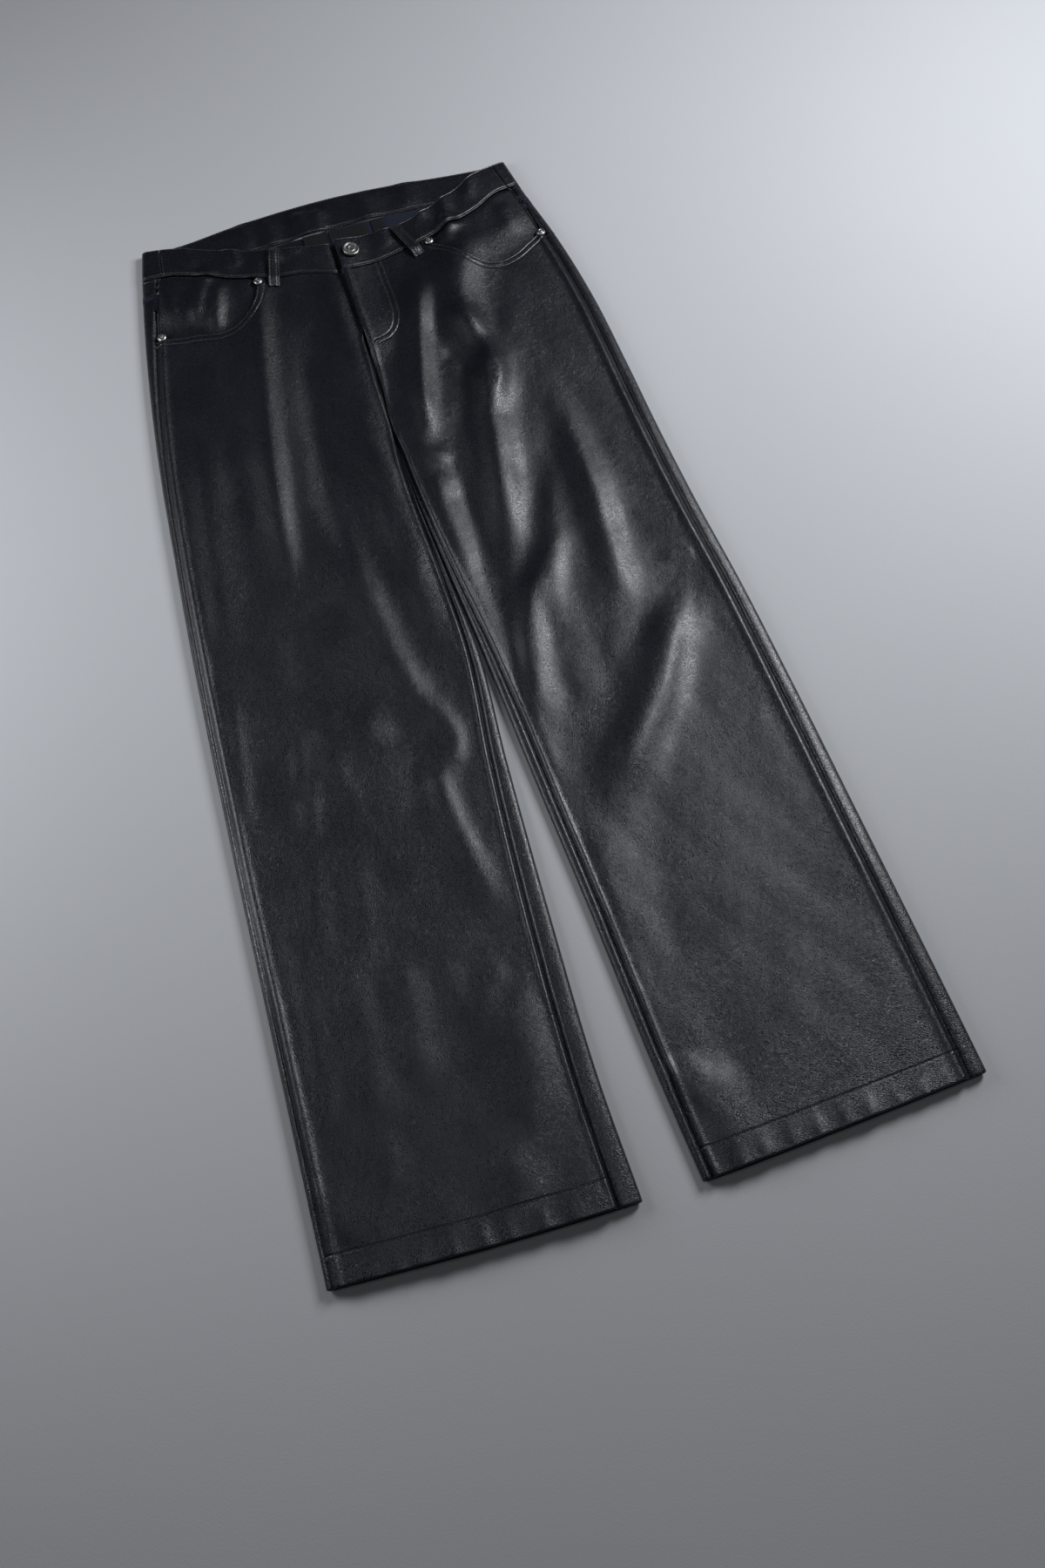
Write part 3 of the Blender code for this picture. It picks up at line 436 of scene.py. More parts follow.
# Edges turned in: radius, depth and the stations after them
FRONT_HEM_STEPS = (2.6, 4.6, 7.0, 9.6, 12.4)
BACK_HEM_STEPS = (2.6, 5.0, 9.0)
FRONT_TOP = (0.9, 7.0, (1.8, 2.8, 3.8, 4.8, 5.8, 7.0, 8.2, 9.4, 11.0, 13.0))
BACK_SEAM = (0.5, 4.0, (1.0, 2.0, 3.4))
CUT_EDGE = ((0.0, 0.0), (1.5, 0.0))
LABEL_EDGE = ((0.0, 0.0), (0.6, 0.0))
# A back piece's ring: the strips on top are its first and last tenth
STRIP = 0.1
STRIP_STATIONS = 6
STRIP_SHARES = (0.055, 0.07, 0.085)
ROLL_RUN = 8.2
ROLL_STATIONS = 8
FLAT_SHARES = (0.14, 0.86, 26)  # from, to and how many


# ---------------------------------------------------------------- settings


class LeatherSettings(bpy.types.PropertyGroup):
    """Leather of the panels and how it is folded in at the seams."""

    thickness: FloatProperty(
        name="Thickness", description="One layer of leather, in millimetres", default=1.1, min=0.3
    )
    seam_dip: FloatProperty(
        name="Seam dip", description="How far panels roll down into a seam, in millimetres",
        default=2.1, min=0.0,
    )
    seam_swell: FloatProperty(
        name="Seam swell", description="Height of the ridge beside a seam, in millimetres",
        default=1.9, min=0.0,
    )
    hem_radius: FloatProperty(
        name="Hem roll", description="Radius of the turned hem's fold, in millimetres",
        default=1.3, min=0.5,
    )
    colour: FloatVectorProperty(
        name="Colour", description="Colour of the leather", subtype="COLOR", size=3,
        default=(0.0030, 0.0036, 0.0060), min=0.0, max=1.0,
    )
    roughness: FloatProperty(
        name="Roughness", description="Middle roughness of the finish", subtype="FACTOR",
        default=0.23, min=0.0, max=1.0,
    )
    grain_size: FloatProperty(
        name="Grain size", description="Width of one pebble of the grain", subtype="DISTANCE",
        unit="LENGTH", default=0.0014, min=0.0002,
    )
    grain_depth: FloatProperty(
        name="Grain depth", description="Depth of the creases between the pebbles",
        subtype="DISTANCE", unit="LENGTH", default=0.00009, min=0.0,
    )
    groove: FloatProperty(
        name="Groove", description="Depth of the groove that topstitching draws into the leather",
        subtype="DISTANCE", unit="LENGTH", default=0.0005, min=0.0,
    )
    lining: FloatVectorProperty(
        name="Backing colour", description="Colour of the knitted backing", subtype="COLOR",
        size=3, default=(0.012, 0.016, 0.030), min=0.0, max=1.0,
    )


class SewingSettings(bpy.types.PropertyGroup):
    """Thread and stitches."""

    pitch: FloatProperty(
        name="Stitch pitch", description="From one stitch to the next, in millimetres",
        default=3.4, min=1.0,
    )
    length: FloatProperty(
        name="Stitch length", description="Length of one stitch, in millimetres",
        default=2.7, min=0.5,
    )
    width: FloatProperty(
        name="Thread width", description="Width of the thread, in millimetres",
        default=0.62, min=0.1,
    )
    colour: FloatVectorProperty(
        name="Thread colour", description="Colour of the thread", subtype="COLOR", size=3,
        default=(0.028, 0.026, 0.025), min=0.0, max=1.0,
    )


class MetalSettings(bpy.types.PropertyGroup):
    """Button and rivets."""

    colour: FloatVectorProperty(
        name="Metal colour", description="Colour of the plated metal", subtype="COLOR", size=3,
        default=(0.50, 0.49, 0.47), min=0.0, max=1.0,
    )
    roughness: FloatProperty(
        name="Metal roughness", description="Roughness of the plated metal", subtype="FACTOR",
        default=0.30, min=0.0, max=1.0,
    )
    segments: IntProperty(
        name="Segments", description="Sides of the turned pieces", default=72, min=12
    )


class StageSettings(bpy.types.PropertyGroup):
    """Floor, lights and camera."""

    floor_colour: FloatVectorProperty(
        name="Floor colour", description="Colour of the floor", subtype="COLOR", size=3,
        default=(0.485, 0.499, 0.504), min=0.0, max=1.0,
    )
    key_power: FloatProperty(
        name="Key light", description="Power of the large light at the wearer's left",
        unit="POWER", default=18.5, min=0.0,
    )
    fill_power: FloatProperty(
        name="Fill light", description="Power of the low light at the wearer's right",
        unit="POWER", default=6.2, min=0.0,
    )
    over_power: FloatProperty(
        name="Upper light", description="Power of the light overhead", unit="POWER",
        default=1.6, min=0.0,
    )
    sky_strength: FloatProperty(
        name="Room light", description="Strength of the even light from the room",
        default=0.015, min=0.0,
    )
    lens: FloatProperty(
        name="Lens", description="Focal length of the camera's lens", unit="CAMERA",
        default=40.14, min=1.0,
    )


# ---------------------------------------------------------------- the form


def smoothstep(t):
    """Rise from 0 to 1 with level ends: 3t^2 - 2t^3."""
    t = np.clip(t, 0.0, 1.0)
    return t * t * (3.0 - 2.0 * t)


def smooth_through(x, knots, values):
    """A cubic curve through the knots, whose slope at each is the mean of its neighbours'."""
    knots = np.asarray(knots, float)
    values = np.asarray(values, float)
    slopes = np.gradient(values, knots)
    i = np.clip(np.searchsorted(knots, x) - 1, 0, len(knots) - 2)
    span = knots[i + 1] - knots[i]
    t = (np.clip(x, knots[0], knots[-1]) - knots[i]) / span
    start = (1 + 2 * t) * (1 - t) ** 2 * values[i] + t * (1 - t) ** 2 * span * slopes[i]
    end = t * t * (3 - 2 * t) * values[i + 1] - t * t * (1 - t) * span * slopes[i + 1]
    return start + end


def line_across(line, x):
    """The y of a line across the garment at x."""
    knots, values = zip(*line)
    return smooth_through(x, knots, values)


def closure(y):
    """1 where the leg is a closed tube, 0 where both halves share one."""
    return 1.0 - smoothstep((y - CROTCH_Y) / CROTCH_RISE)


def curve_through(start, bend, end):
    """Points of the parabola that passes through the bend halfway between its ends."""
    start, bend, end = (np.array(point, float) for point in (start, bend, end))
    ts = np.linspace(0.0, 1.0, FOLD_POINTS)[:, None]
    through = 2.0 * bend - 0.5 * (start + end)
    return (1 - ts) ** 2 * start + 2 * ts * (1 - ts) * through + ts**2 * end


def run_along(line):
    """Distance of each point of a line from its start."""
    return np.concatenate([[0.0], np.cumsum(np.linalg.norm(np.diff(line, axis=0), axis=1))])


def flowing(knots, offset):
    """Points of a smooth line through the knots, moved to its right by an offset."""
    knots = np.array(knots, float)
    runs = run_along(knots)
    at = np.linspace(0.0, runs[-1], int(runs[-1] / FLOW_STEP) + 2)
    line = np.stack([smooth_through(at, runs, knots[:, i]) for i in (0, 1)], axis=1)
    run = np.gradient(line, axis=0)
    right = np.stack([run[:, 1], -run[:, 0]], axis=1)
    return line + offset * right / np.linalg.norm(right, axis=1, keepdims=True)


def onto(a, b, x, y):
    """Where places lie beside a line from a to b.

    Gives their share along it, their distance from it, and a product above 0 at its left.
    """
    along = b - a
    t = np.clip(((x - a[0]) * along[0] + (y - a[1]) * along[1]) / (along @ along), 0, 1)
    dx = x - a[0] - t * along[0]
    dy = y - a[1] - t * along[1]
    return t, np.hypot(dx, dy), along[0] * dy - along[1] * dx


def ridge(x, y, fold):
    """One fold: height * fade * exp(-(distance / width)^2) from its curve, fading at both ends."""
    row = dict(zip(FOLD_COLUMNS, fold))
    points = curve_through(row["start"], row["bend"], row["end"])
    reach = FOLD_REACH * max(row["left"], row["right"])
    low, high = points.min(axis=0) - reach, points.max(axis=0) + reach
    near = (x > low[0]) & (x < high[0]) & (y > low[1]) & (y < high[1])
    lift = np.zeros(np.shape(x))
    if not near.any():
        return lift
    px, py = x[near], y[near]
    best = np.full(px.shape, np.inf)
    bell = np.zeros(px.shape)
    for i, (a, b) in enumerate(zip(points[:-1], points[1:])):
        t, distance, side = onto(a, b, px, py)
        width = np.where(side > 0, row["left"], row["right"])
        place = (i + t) / (len(points) - 1)
        fade = smoothstep(place / FOLD_FADE) * smoothstep((1 - place) / FOLD_FADE)
        nearer = distance < best
        bell = np.where(nearer, row["height"] * fade * np.exp(-((distance / width) ** 2)), bell)
        best = np.minimum(best, distance)
    lift[near] = bell
    return lift


def waves(x, y, table, reach):
    """Lifts along the hem: a bell across each one's middle, fading up the leg."""
    lift = np.zeros(np.shape(x))
    up = 1.0 - smoothstep(y / reach)
    for middle, half_width, height in table:
        lift = lift + height * up * np.exp(-(((x - middle) / half_width) ** 2))
    return lift


def unevenness(x, y, length, seed):
    """Mean of some sine waves of about one length, each its own way across the surface."""
    dice = np.random.default_rng(seed)
    total = 0.0
    for _ in range(UNEVEN_WAVES):
        turn = dice.uniform(0.0, math.tau)
        pace = math.tau / (length * dice.uniform(*UNEVEN_RANGE))
        across = x * math.cos(turn) + y * math.sin(turn)
        total = total + np.sin(across * pace + dice.uniform(0.0, math.tau))
    return total / UNEVEN_WAVES


class Half:
    """One half of the garment: the sections of its tube, and the ring round them."""

    def __init__(self, name, sections, inwards):
        """The half's table, and which way along x its inner edge lies."""
        self.name = name
        self.inwards = inwards  # the way from the outer edge to the inner one along X
        self.columns = dict(zip(SECTION_COLUMNS, np.array(sections, float).T))

    def at(self, column, y):
        """One column of the table at y, on the smooth curve through its rows."""
        return smooth_through(y, self.columns["y"], self.columns[column])

    def height(self, x, y):
        """Height of the top face: the edge's, rising to the middle's and the folds'."""
        x, y = np.broadcast_arrays(np.asarray(x, float), np.asarray(y, float))
        from_outer = np.abs(x - self.at("outer", y))
        from_inner = np.abs(self.at("inner", y) - x)
        closed = closure(y)
        open_side = 1.0 - closed * (1.0 - smoothstep(from_inner / EDGE_FALL))
        rise = smoothstep(from_outer / EDGE_FALL) * open_side
        small_open = 1.0 - closed * (1.0 - smoothstep(from_inner / SMALL_FALL))
        small_rise = smoothstep(from_outer / SMALL_FALL) * small_open
        edge = self.at("edge", y)
        large = sum(ridge(x, y, fold) for fold in FOLDS) + waves(x, y, HEM_WAVES, HEM_WAVE_REACH)
        small = sum(ridge(x, y, fold) for fold in CREASES)
        small = small + waves(x, y, HEM_PUCKERS, PUCKER_REACH * 2)
        for amount, length, seed in UNEVENNESS:
            small = small + amount * unevenness(x, y, length, seed)
        z = edge + rise * (self.at("middle", y) - edge + large) + small_rise * small
        z = LEAST + SOFT * np.logaddexp(0.0, (z - LEAST) / SOFT)
        return MOST - SOFT * np.logaddexp(0.0, (MOST - z) / SOFT)

    def arc(self, y):
        """Length of one face of the ring, from the outer edge to the inner one."""
        flat = (self.at("inner", y) - self.at("outer", y)) * self.inwards
        return flat + ROLL * (math.pi / 2 - 1) * (1.0 + closure(y))

    def inner_strip(self, y):
        """The strip beside the inner seam, which runs out at the crotch."""
        return self.at("inner_strip", y) * smoothstep((CROTCH_Y - y) / INSEAM_FADE)

    def place(self, p, y, on_top):
        """x on one face, and how full the section is there, at p round from the outer edge.

        Near an edge the section is half an ellipse. Above the crotch the inner edge opens.
        """
        arc = self.arc(y)
        by_outer = p < arc / 2
        around = np.where(by_outer, p, arc - p)
        up = True if on_top else around < 0
        signed = around if on_top else np.abs(around)
        folded = np.where(by_outer, 1.0, closure(y))
        edge = np.where(by_outer, self.at("outer", y), self.at("inner", y))
        way = np.where(by_outer, self.inwards, -self.inwards)
        distance = np.abs(signed)
        angle = np.minimum(distance / ROLL, math.pi / 2)
        rolled = ROLL * (1 - np.cos(angle)) + np.maximum(distance - ROLL * math.pi / 2, 0.0)
        x = edge + way * np.sign(signed) * (distance + (rolled - distance) * folded)
        full = 1.0 - folded * (1.0 - np.sin(angle))
        return x, np.where(up, full, -full)

    def surface(self, p, y, on_top, proud=0.0):
        """x, y and z at p round the ring: top face only, or the whole ring from underneath."""
        x, full = self.place(p, y, on_top)
        return x, y, (self.height(x, y) + proud) / 2 * (1.0 + full)


RIGHT = Half("right", RIGHT_SECTIONS, 1.0)
LEFT = Half("left", LEFT_SECTIONS, -1.0)


def lap_over(x, y):
    """How far the left front stands off the right one beside the fly."""
    beside = 1.0 - smoothstep(np.abs(x - LEFT.at("inner", y)) / FLY_REACH)
    return FLY_LIFT * beside * smoothstep((y - FLY_END_Y + FLY_RUN_IN) / FLY_RUN)


def fly_edge_lift(x, y):
    """What keeps the fly's edge level where the rest of the panel rolls down into its seam."""
    beside = np.exp(-((np.abs(x - LEFT.at("inner", y)) / FLY_EDGE_WIDTH) ** 2))
    return FLY_EDGE_LIFT * beside * smoothstep((y - FLY_END_Y) / FLY_RUN)


def lying_on(half, x, y):
    """Height of the top face at a place, with the fly's lift on the left half."""
    lift = lap_over(x, y) if half is LEFT else 0.0
    return half.height(x, y) + lift


def slopes(height, x, y, step):
    """Slopes of a surface along X and along Y."""
    slope_x = (height(x + step, y) - height(x - step, y)) / (2 * step)
    slope_y = (height(x, y + step) - height(x, y - step)) / (2 * step)
    return slope_x, slope_y


# ---------------------------------------------------------------- grids


def spread(low_edge, high_edge, count):
    """Stations from one edge of a panel to the other, as (share, offset, drop) rows.

    Each edge is a list of (offset, drop) pairs, from the edge inwards. Between them the
    stations are even.
    """
    low = [(0.0, offset, drop) for offset, drop in low_edge]
    high = [(1.0, -offset, drop) for offset, drop in reversed(high_edge)]
    start, end = low_edge[-1][0], high_edge[-1][0]
    shares = np.linspace(0.0, 1.0, count + 2)[1:-1]
    middle = [(t, start * (1.0 - t) - end * t, 0.0) for t in shares]
    return np.array(low + middle + high).T


def seam_edge(dip, swell, crest):
    """Edge of a panel at a seam: a soft ridge over the seam allowance, and a roll down.

    dip*exp(-(o/(0.4*crest))^2) - swell*exp(-((o - crest)/(0.5*crest))^2), for the
    offset o from the edge.
    """
    return [
        (
            offset,
            dip * math.exp(-((offset / (0.4 * crest)) ** 2))
            - swell * math.exp(-(((offset - crest) / (0.5 * crest)) ** 2)),
        )
        for offset in SEAM_OFFSETS
    ]


def turned_edge(radius, depth, steps):
    """Edge turned under: the inner layer, a half circle, and the outer layer's start."""
    inside = [(offset, 2 * radius) for offset in (depth, depth * 0.6, depth * 0.3)]
    turns = np.linspace(-math.pi / 2, math.pi / 2, 9)
    fold = [(radius * (1 - math.cos(a)), radius * (1 - math.sin(a))) for a in turns]
    return inside + fold + [(offset, 0.0) for offset in steps]


def tube_round(radius, count):
    """Closed way round a folded band: over its outer face, and back over its inner one."""
    turns = np.linspace(0.0, math.pi / 2, 5)
    rim = [(radius * (1 - math.cos(a)), radius * (1 - math.sin(a))) for a in turns]
    under = [(offset, 2 * radius - drop) for offset, drop in rim]
    shares = np.linspace(0.0, 1.0, count + 2)[1:-1]
    outer = [(0.0, o, d) for o, d in rim] + [(t, radius * (1 - 2 * t), 0.0) for t in shares]
    outer = outer + [(1.0, -o, d) for o, d in reversed(rim)]
    inner = [(1.0, -o, d) for o, d in under[1:]]
    inner = inner + [(t, radius * (1 - 2 * t), 2 * radius) for t in shares[::-1]]
    inner = inner + [(0.0, o, d) for o, d in reversed(under[1:])]
    return np.array(outer + inner).T


def lay(surface, columns, rows, outward, rounded=None):
    """Points of a surface over its columns and rows, moved in by what both fold in.

    The surface takes a share and an offset for each of its two ways. With a rounded radius,
    the columns that near to either end close in as a half circle. Nothing sinks below the
    floor.
    """
    share_a, share_b = np.meshgrid(columns[0], rows[0])
    offset_a, offset_b = np.meshgrid(columns[1], rows[1])
    drop_a, drop_b = np.meshgrid(columns[2], rows[2])

    def at(a, b):
        return np.stack(surface(share_a, offset_a + a, share_b, offset_b + b), axis=-1)

    along = at(STEP, 0.0) - at(-STEP, 0.0)
    up = at(0.0, STEP) - at(0.0, -STEP)
    normal = np.cross(along, up) * outward
    normal = normal / np.linalg.norm(normal, axis=-1, keepdims=True)
    depth = drop_a + drop_b
    if rounded is not None:
        at_high = np.where(share_a == 1.0, -offset_a, rounded)
        from_end = np.where(share_a == 0.0, offset_a, at_high)
        open_end = np.clip(from_end / rounded, 0.0, 1.0)
        depth = rounded + (drop_b - rounded) * np.sqrt(1.0 - (1.0 - open_end) ** 2)
    points = at(0.0, 0.0) - normal * depth[..., None]
    points[..., 2] = np.maximum(points[..., 2], 0.0)
    return points


def add_object(name, data):
    """An object of some data, in the scene."""
    obj = bpy.data.objects.new(name, data)
    bpy.context.scene.collection.objects.link(obj)
    return obj


def add_mesh(name, points, faces, material):
    """An object of points in the tables' frame, smooth and riding on the garment's body."""
    mesh = bpy.data.meshes.new(name)
    mesh.from_pydata((points.reshape(-1, 3) * MM + SHIFT).tolist(), [], faces.tolist())
    mesh.shade_smooth()
    mesh.materials.append(material)
    obj = add_object(name, mesh)
    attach(obj, "root")
    return obj


def piece(
    name, points, material, outward=1.0, round_it=False, wall=0.0, inside=None, insets=None
):
    """A shell through a grid of points, faced outwards, with a wall's thickness inside it.

    Insets are named distances in millimetres from stitched edges, kept for the material.
    """
    rows, columns = points.shape[:2]
    index = np.arange(rows * columns).reshape(rows, columns)
    if round_it:
        index = np.vstack([index, index[:1]])
    corners = (index[:-1, :-1], index[:-1, 1:], index[1:, 1:], index[1:, :-1])
    quads = np.stack([corner.ravel() for corner in corners], axis=1)
    if outward < 0:
        quads = quads[:, ::-1]
    obj = add_mesh(name, points, quads, material)
    mesh = obj.data
    for key, distance in (insets or {}).items():
        layer = mesh.attributes.new(key, "FLOAT", "POINT")
        layer.data.foreach_set("value", (distance + INSET_ZERO).ravel().astype(np.float32))
    if inside is not None:
        mesh.materials.append(inside)
    if round_it:
        close_ends(mesh)
    if wall > 0.0:
        solid = obj.modifiers.new("Wall", "SOLIDIFY")
        solid.thickness = wall * MM
        solid.offset = -1.0
        solid.material_offset = 1 if inside is not None else 0
    return obj


def close_ends(mesh):
    """Merge the points that a pinched end brings together."""
    work = bmesh.new()
    work.from_mesh(mesh)
    bmesh.ops.remove_doubles(work, verts=work.verts, dist=0.00001)
    work.to_mesh(mesh)
    work.free()


def dress(obj, node):
    """Put a finished piece in a node's place by hiding the node's own solid; the piece itself is
    not used.
    """
    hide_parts(node)


# ---------------------------------------------------------------- materials

KNIT_WIDTH = 0.0011  # of a loop, in metres
KNIT_LENGTH = 0.0014
TWILL_WIDTH = 0.0007
RIB_COLOUR = (0.008, 0.008, 0.010)
LABEL_COLOUR = (0.0030, 0.0032, 0.0040)
TAPE_COLOUR = (0.01, 0.01, 0.011)


class Number:
    """A number that changes over a surface. Arithmetic on it adds Math nodes."""

    def __init__(self, shader, socket):
        """The finish it belongs to, and the socket that gives it."""
        self.shader = shader
        self.socket = socket

    def math(self, operation, *values):
        """One Math node's result."""
        return self.shader.node("ShaderNodeMath", {"operation": operation}, list(values))

    def __add__(self, other):
        return self.math("ADD", self, other)

    def __radd__(self, other):
        return self.math("ADD", other, self)

    def __sub__(self, other):
        return self.math("SUBTRACT", self, other)

    def __rsub__(self, other):
        return self.math("SUBTRACT", other, self)

    def __mul__(self, other):
        return self.math("MULTIPLY", self, other)

    def __rmul__(self, other):
        return self.math("MULTIPLY", other, self)

    def __truediv__(self, other):
        return self.math("DIVIDE", self, other)

    def clamp(self, low, high):
        """The number, kept between two others."""
        return self.math("MINIMUM", self.math("MAXIMUM", self, low), high)

    def power(self, exponent):
        """The number to an exponent."""
        return self.math("POWER", self, exponent)

    def bell(self, middle, width):
        """1 at the middle, falling off to either side over the width."""
        away = (self - middle) / width
        return self.math("EXPONENT", away * away * -1.0)


def shade(tone, share):
    """A colour made darker or lighter by a share."""
    return tuple(channel * share for channel in tone)


class Finish:
    """A material and its nodes."""

    def __init__(self, name):
        """A new material, with its shader and the place on the object."""
        self.material = bpy.data.materials.new(name)
        self.material.use_nodes = True
        self.tree = self.material.node_tree
        self.shader = self.tree.nodes["Principled BSDF"]
        self.place = self.node("ShaderNodeTexCoord", {}, {}, "Object").socket

    def node(self, kind, settings, inputs, output=0):
        """One node: its settings first, then the values or links of its sockets."""
        made = self.tree.nodes.new(kind)
        for name, value in settings.items():
            setattr(made, name, value)
        named = enumerate(inputs) if isinstance(inputs, list) else inputs.items()
        for key, value in named:
            if isinstance(value, Number):
                value = value.socket
            if isinstance(value, bpy.types.NodeSocket):
                self.tree.links.new(value, made.inputs[key])
            else:
                made.inputs[key].default_value = value
        return Number(self, made.outputs[output])

    def noise(self, size, detail):
        """Soft noise of about one size, in metres, from 0 to 1."""
        inputs = {"Vector": self.place, "Scale": 1.0 / size, "Detail": detail}
        return self.node("ShaderNodeTexNoise", {}, inputs, "Fac")

    def cells(self, size, feature, place):
        """Distances within cells of about one size, in cells' widths."""
        inputs = {"Vector": place, "Scale": 1.0 / size}
        return self.node("ShaderNodeTexVoronoi", {"feature": feature}, inputs, "Distance")

    def bent_place(self, size, amount):
        """Object coordinates moved about by noise, so that a pattern isn't regular."""
        wobble = self.node(
            "ShaderNodeTexNoise", {}, {"Vector": self.place, "Scale": 1.0 / size}, "Color"
        )
        centred = self.node(
            "ShaderNodeVectorMath", {"operation": "SUBTRACT"}, [wobble.socket, (0.5, 0.5, 0.5)]
        )
        inputs = {0: centred.socket, "Scale": amount}
        moved = self.node("ShaderNodeVectorMath", {"operation": "SCALE"}, inputs)
        return self.node(
            "ShaderNodeVectorMath", {"operation": "ADD"}, [self.place, moved.socket]
        ).socket

    def along_axes(self):
        """The X and Y of the object coordinates."""
        split = self.node("ShaderNodeSeparateXYZ", {}, [self.place], "X").socket.node
        return [Number(self, split.outputs[axis]) for axis in "XY"]

    def inset(self, key):
        """A distance in millimetres kept on the piece, and far below 0 where it has none."""
        kept = self.node("ShaderNodeAttribute", {"attribute_name": key}, {}, "Fac")
        return kept - INSET_ZERO

    def mix(self, share, one, other):
        """Colour between two colours."""
        inputs = {0: share, 6: (*one, 1.0), 7: (*other, 1.0)}
        return self.node("ShaderNodeMix", {"data_type": "RGBA"}, inputs, 2)

    def bump(self, height):
        """Relief from a height in metres."""
        inputs = {"Height": height, "Distance": 1.0, "Strength": 1.0}
        return self.node("ShaderNodeBump", {}, inputs)

    def set(self, **values):
        """Values or links of the Principled shader's sockets, with _ for a space."""
        for name, value in values.items():
            socket = self.shader.inputs[name.replace("_", " ")]
            if isinstance(value, Number):
                self.tree.links.new(value.socket, socket)
            else:
                socket.default_value = value
        return self.material


def leather_finish(settings):
    """Coated leather: pebbles with fine creases between them, and a soft uneven sheen.

    Along the topstitched rows it is drawn into grooves, with puckers beside them.
    """
    finish = Finish("leather")
    place = finish.bent_place(settings.grain_size * 3.0, settings.grain_size * 1.6)
    pebbles = finish.cells(settings.grain_size, "DISTANCE_TO_EDGE", place)
    fine = finish.cells(settings.grain_size * 0.45, "F1", place)
    swell = finish.noise(0.011, 3.0)
    worn = finish.noise(0.045, 4.0)
    body = (pebbles * 5.0).clamp(0.0, 1.0).power(0.6)
    depth = settings.grain_depth * (0.55 + 0.9 * worn)
    height = body * depth - fine * (settings.grain_depth * 0.3) + swell * 0.00010
    pucker = finish.noise(0.0042, 1.0)
    for key, rows in (
        ("edge_inset", ROW_INSETS), ("fly_inset", ROW_INSETS), ("band_inset", ROW_INSETS[:1]),
    ):
        inset = finish.inset(key)
        for row in rows:
            height = height - inset.bell(row, 0.8) * (settings.groove * (0.6 + 0.9 * pucker))
        between = inset.bell(rows[-1] * 0.5 + 1.1, 1.2 + rows[-1] * 0.2)
        height = height + between * (pucker - 0.5) * (settings.groove * 1.6)
    height = height - finish.inset("row_inset").bell(0.0, 0.9) * settings.groove
    light = shade(settings.colour, 1.9)
    rough = settings.roughness - 0.06 + 0.12 * finish.noise(0.006, 4.0) + (1.0 - body) * 0.29
    return finish.set(
        Base_Color=finish.mix(worn, settings.colour, light),
        Roughness=rough,
        Specular_IOR_Level=0.6,
        Normal=finish.bump(height),
    )


def knit_finish(settings):
    """Knitted backing: rows of small loops, fuzzy and without shine."""
    finish = Finish("knit_backing")
    x, y = finish.along_axes()
    across, along = x * (math.tau / KNIT_WIDTH), y * (math.tau / KNIT_LENGTH)
    loops = across.math("SINE", across) * along.math("SINE", along)
    height = loops * 0.00008 + finish.noise(0.0006, 2.0) * 0.00012
    # painted shade: the colour follows the same loops as the relief, darker in the hollows between
    # them
    tone = (loops * 0.3 + 0.5).clamp(0.0, 1.0)
    return finish.set(
        Base_Color=finish.mix(tone, shade(settings.lining, 0.6), settings.lining),
        Roughness=0.92,
        Specular_IOR_Level=0.25,
        Normal=finish.bump(height),
    )


def woven_finish(name, colour):
    """Woven label: fine twill with a faint satin shine."""
    finish = Finish(name)
    across, along = finish.along_axes()
    slant = (across + along * 0.6) * (math.tau / TWILL_WIDTH)
    ribs = slant.math("SINE", slant)
    return finish.set(
        Base_Color=finish.mix((ribs * 0.4 + 0.5).clamp(0.0, 1.0), colour, RIB_COLOUR),
        Roughness=0.7,
        Specular_IOR_Level=0.25,
        Normal=finish.bump(ribs * 0.00004),
    )


def thread_finish(settings):
    """Waxed thread, with the twist of its plies."""
    finish = Finish("thread")
    twist = finish.noise(0.0004, 1.0)
    return finish.set(
        Base_Color=(*settings.colour, 1.0), Roughness=0.38, Normal=finish.bump(twist * 0.00008)
    )


def metal_finish(settings):
    """Antique silver: dark in the hollows, scuffed on the high places."""
    finish = Finish("antique_silver")
    scuffs = finish.noise(0.0016, 5.0)
    tone = ((scuffs - 0.35) * 3.0).clamp(0.0, 1.0)
    return finish.set(
        Base_Color=finish.mix(tone, shade(settings.colour, 0.28), settings.colour),
        Metallic=1.0,
        Roughness=settings.roughness + 0.2 * scuffs,
        Normal=finish.bump(scuffs * 0.00008),
    )


def finish_of(name, maker, *settings):
    """A material by name, made the first time it is asked for."""
    return bpy.data.materials.get(name) or maker(*settings)


def woven(name, colour):
    """The woven material of a name and colour."""
    return finish_of(name, woven_finish, name, colour)


def leather():
    """The leather of every panel."""
    return finish_of("leather", leather_finish, bpy.context.scene.trousers_leather)


def knit():
    """The knitted backing inside the panels."""
    return finish_of("knit_backing", knit_finish, bpy.context.scene.trousers_leather)


# ---------------------------------------------------------------- panels


def everywhere(y, share, row_share):
    """A first y at every place of a grid."""
    return y + 0.0 * (share + row_share)


def between(low, high, row_share, row_offset):
    """y at a share of the way from one line to another, and an offset further."""
    return low + (high - low) * row_share + row_offset


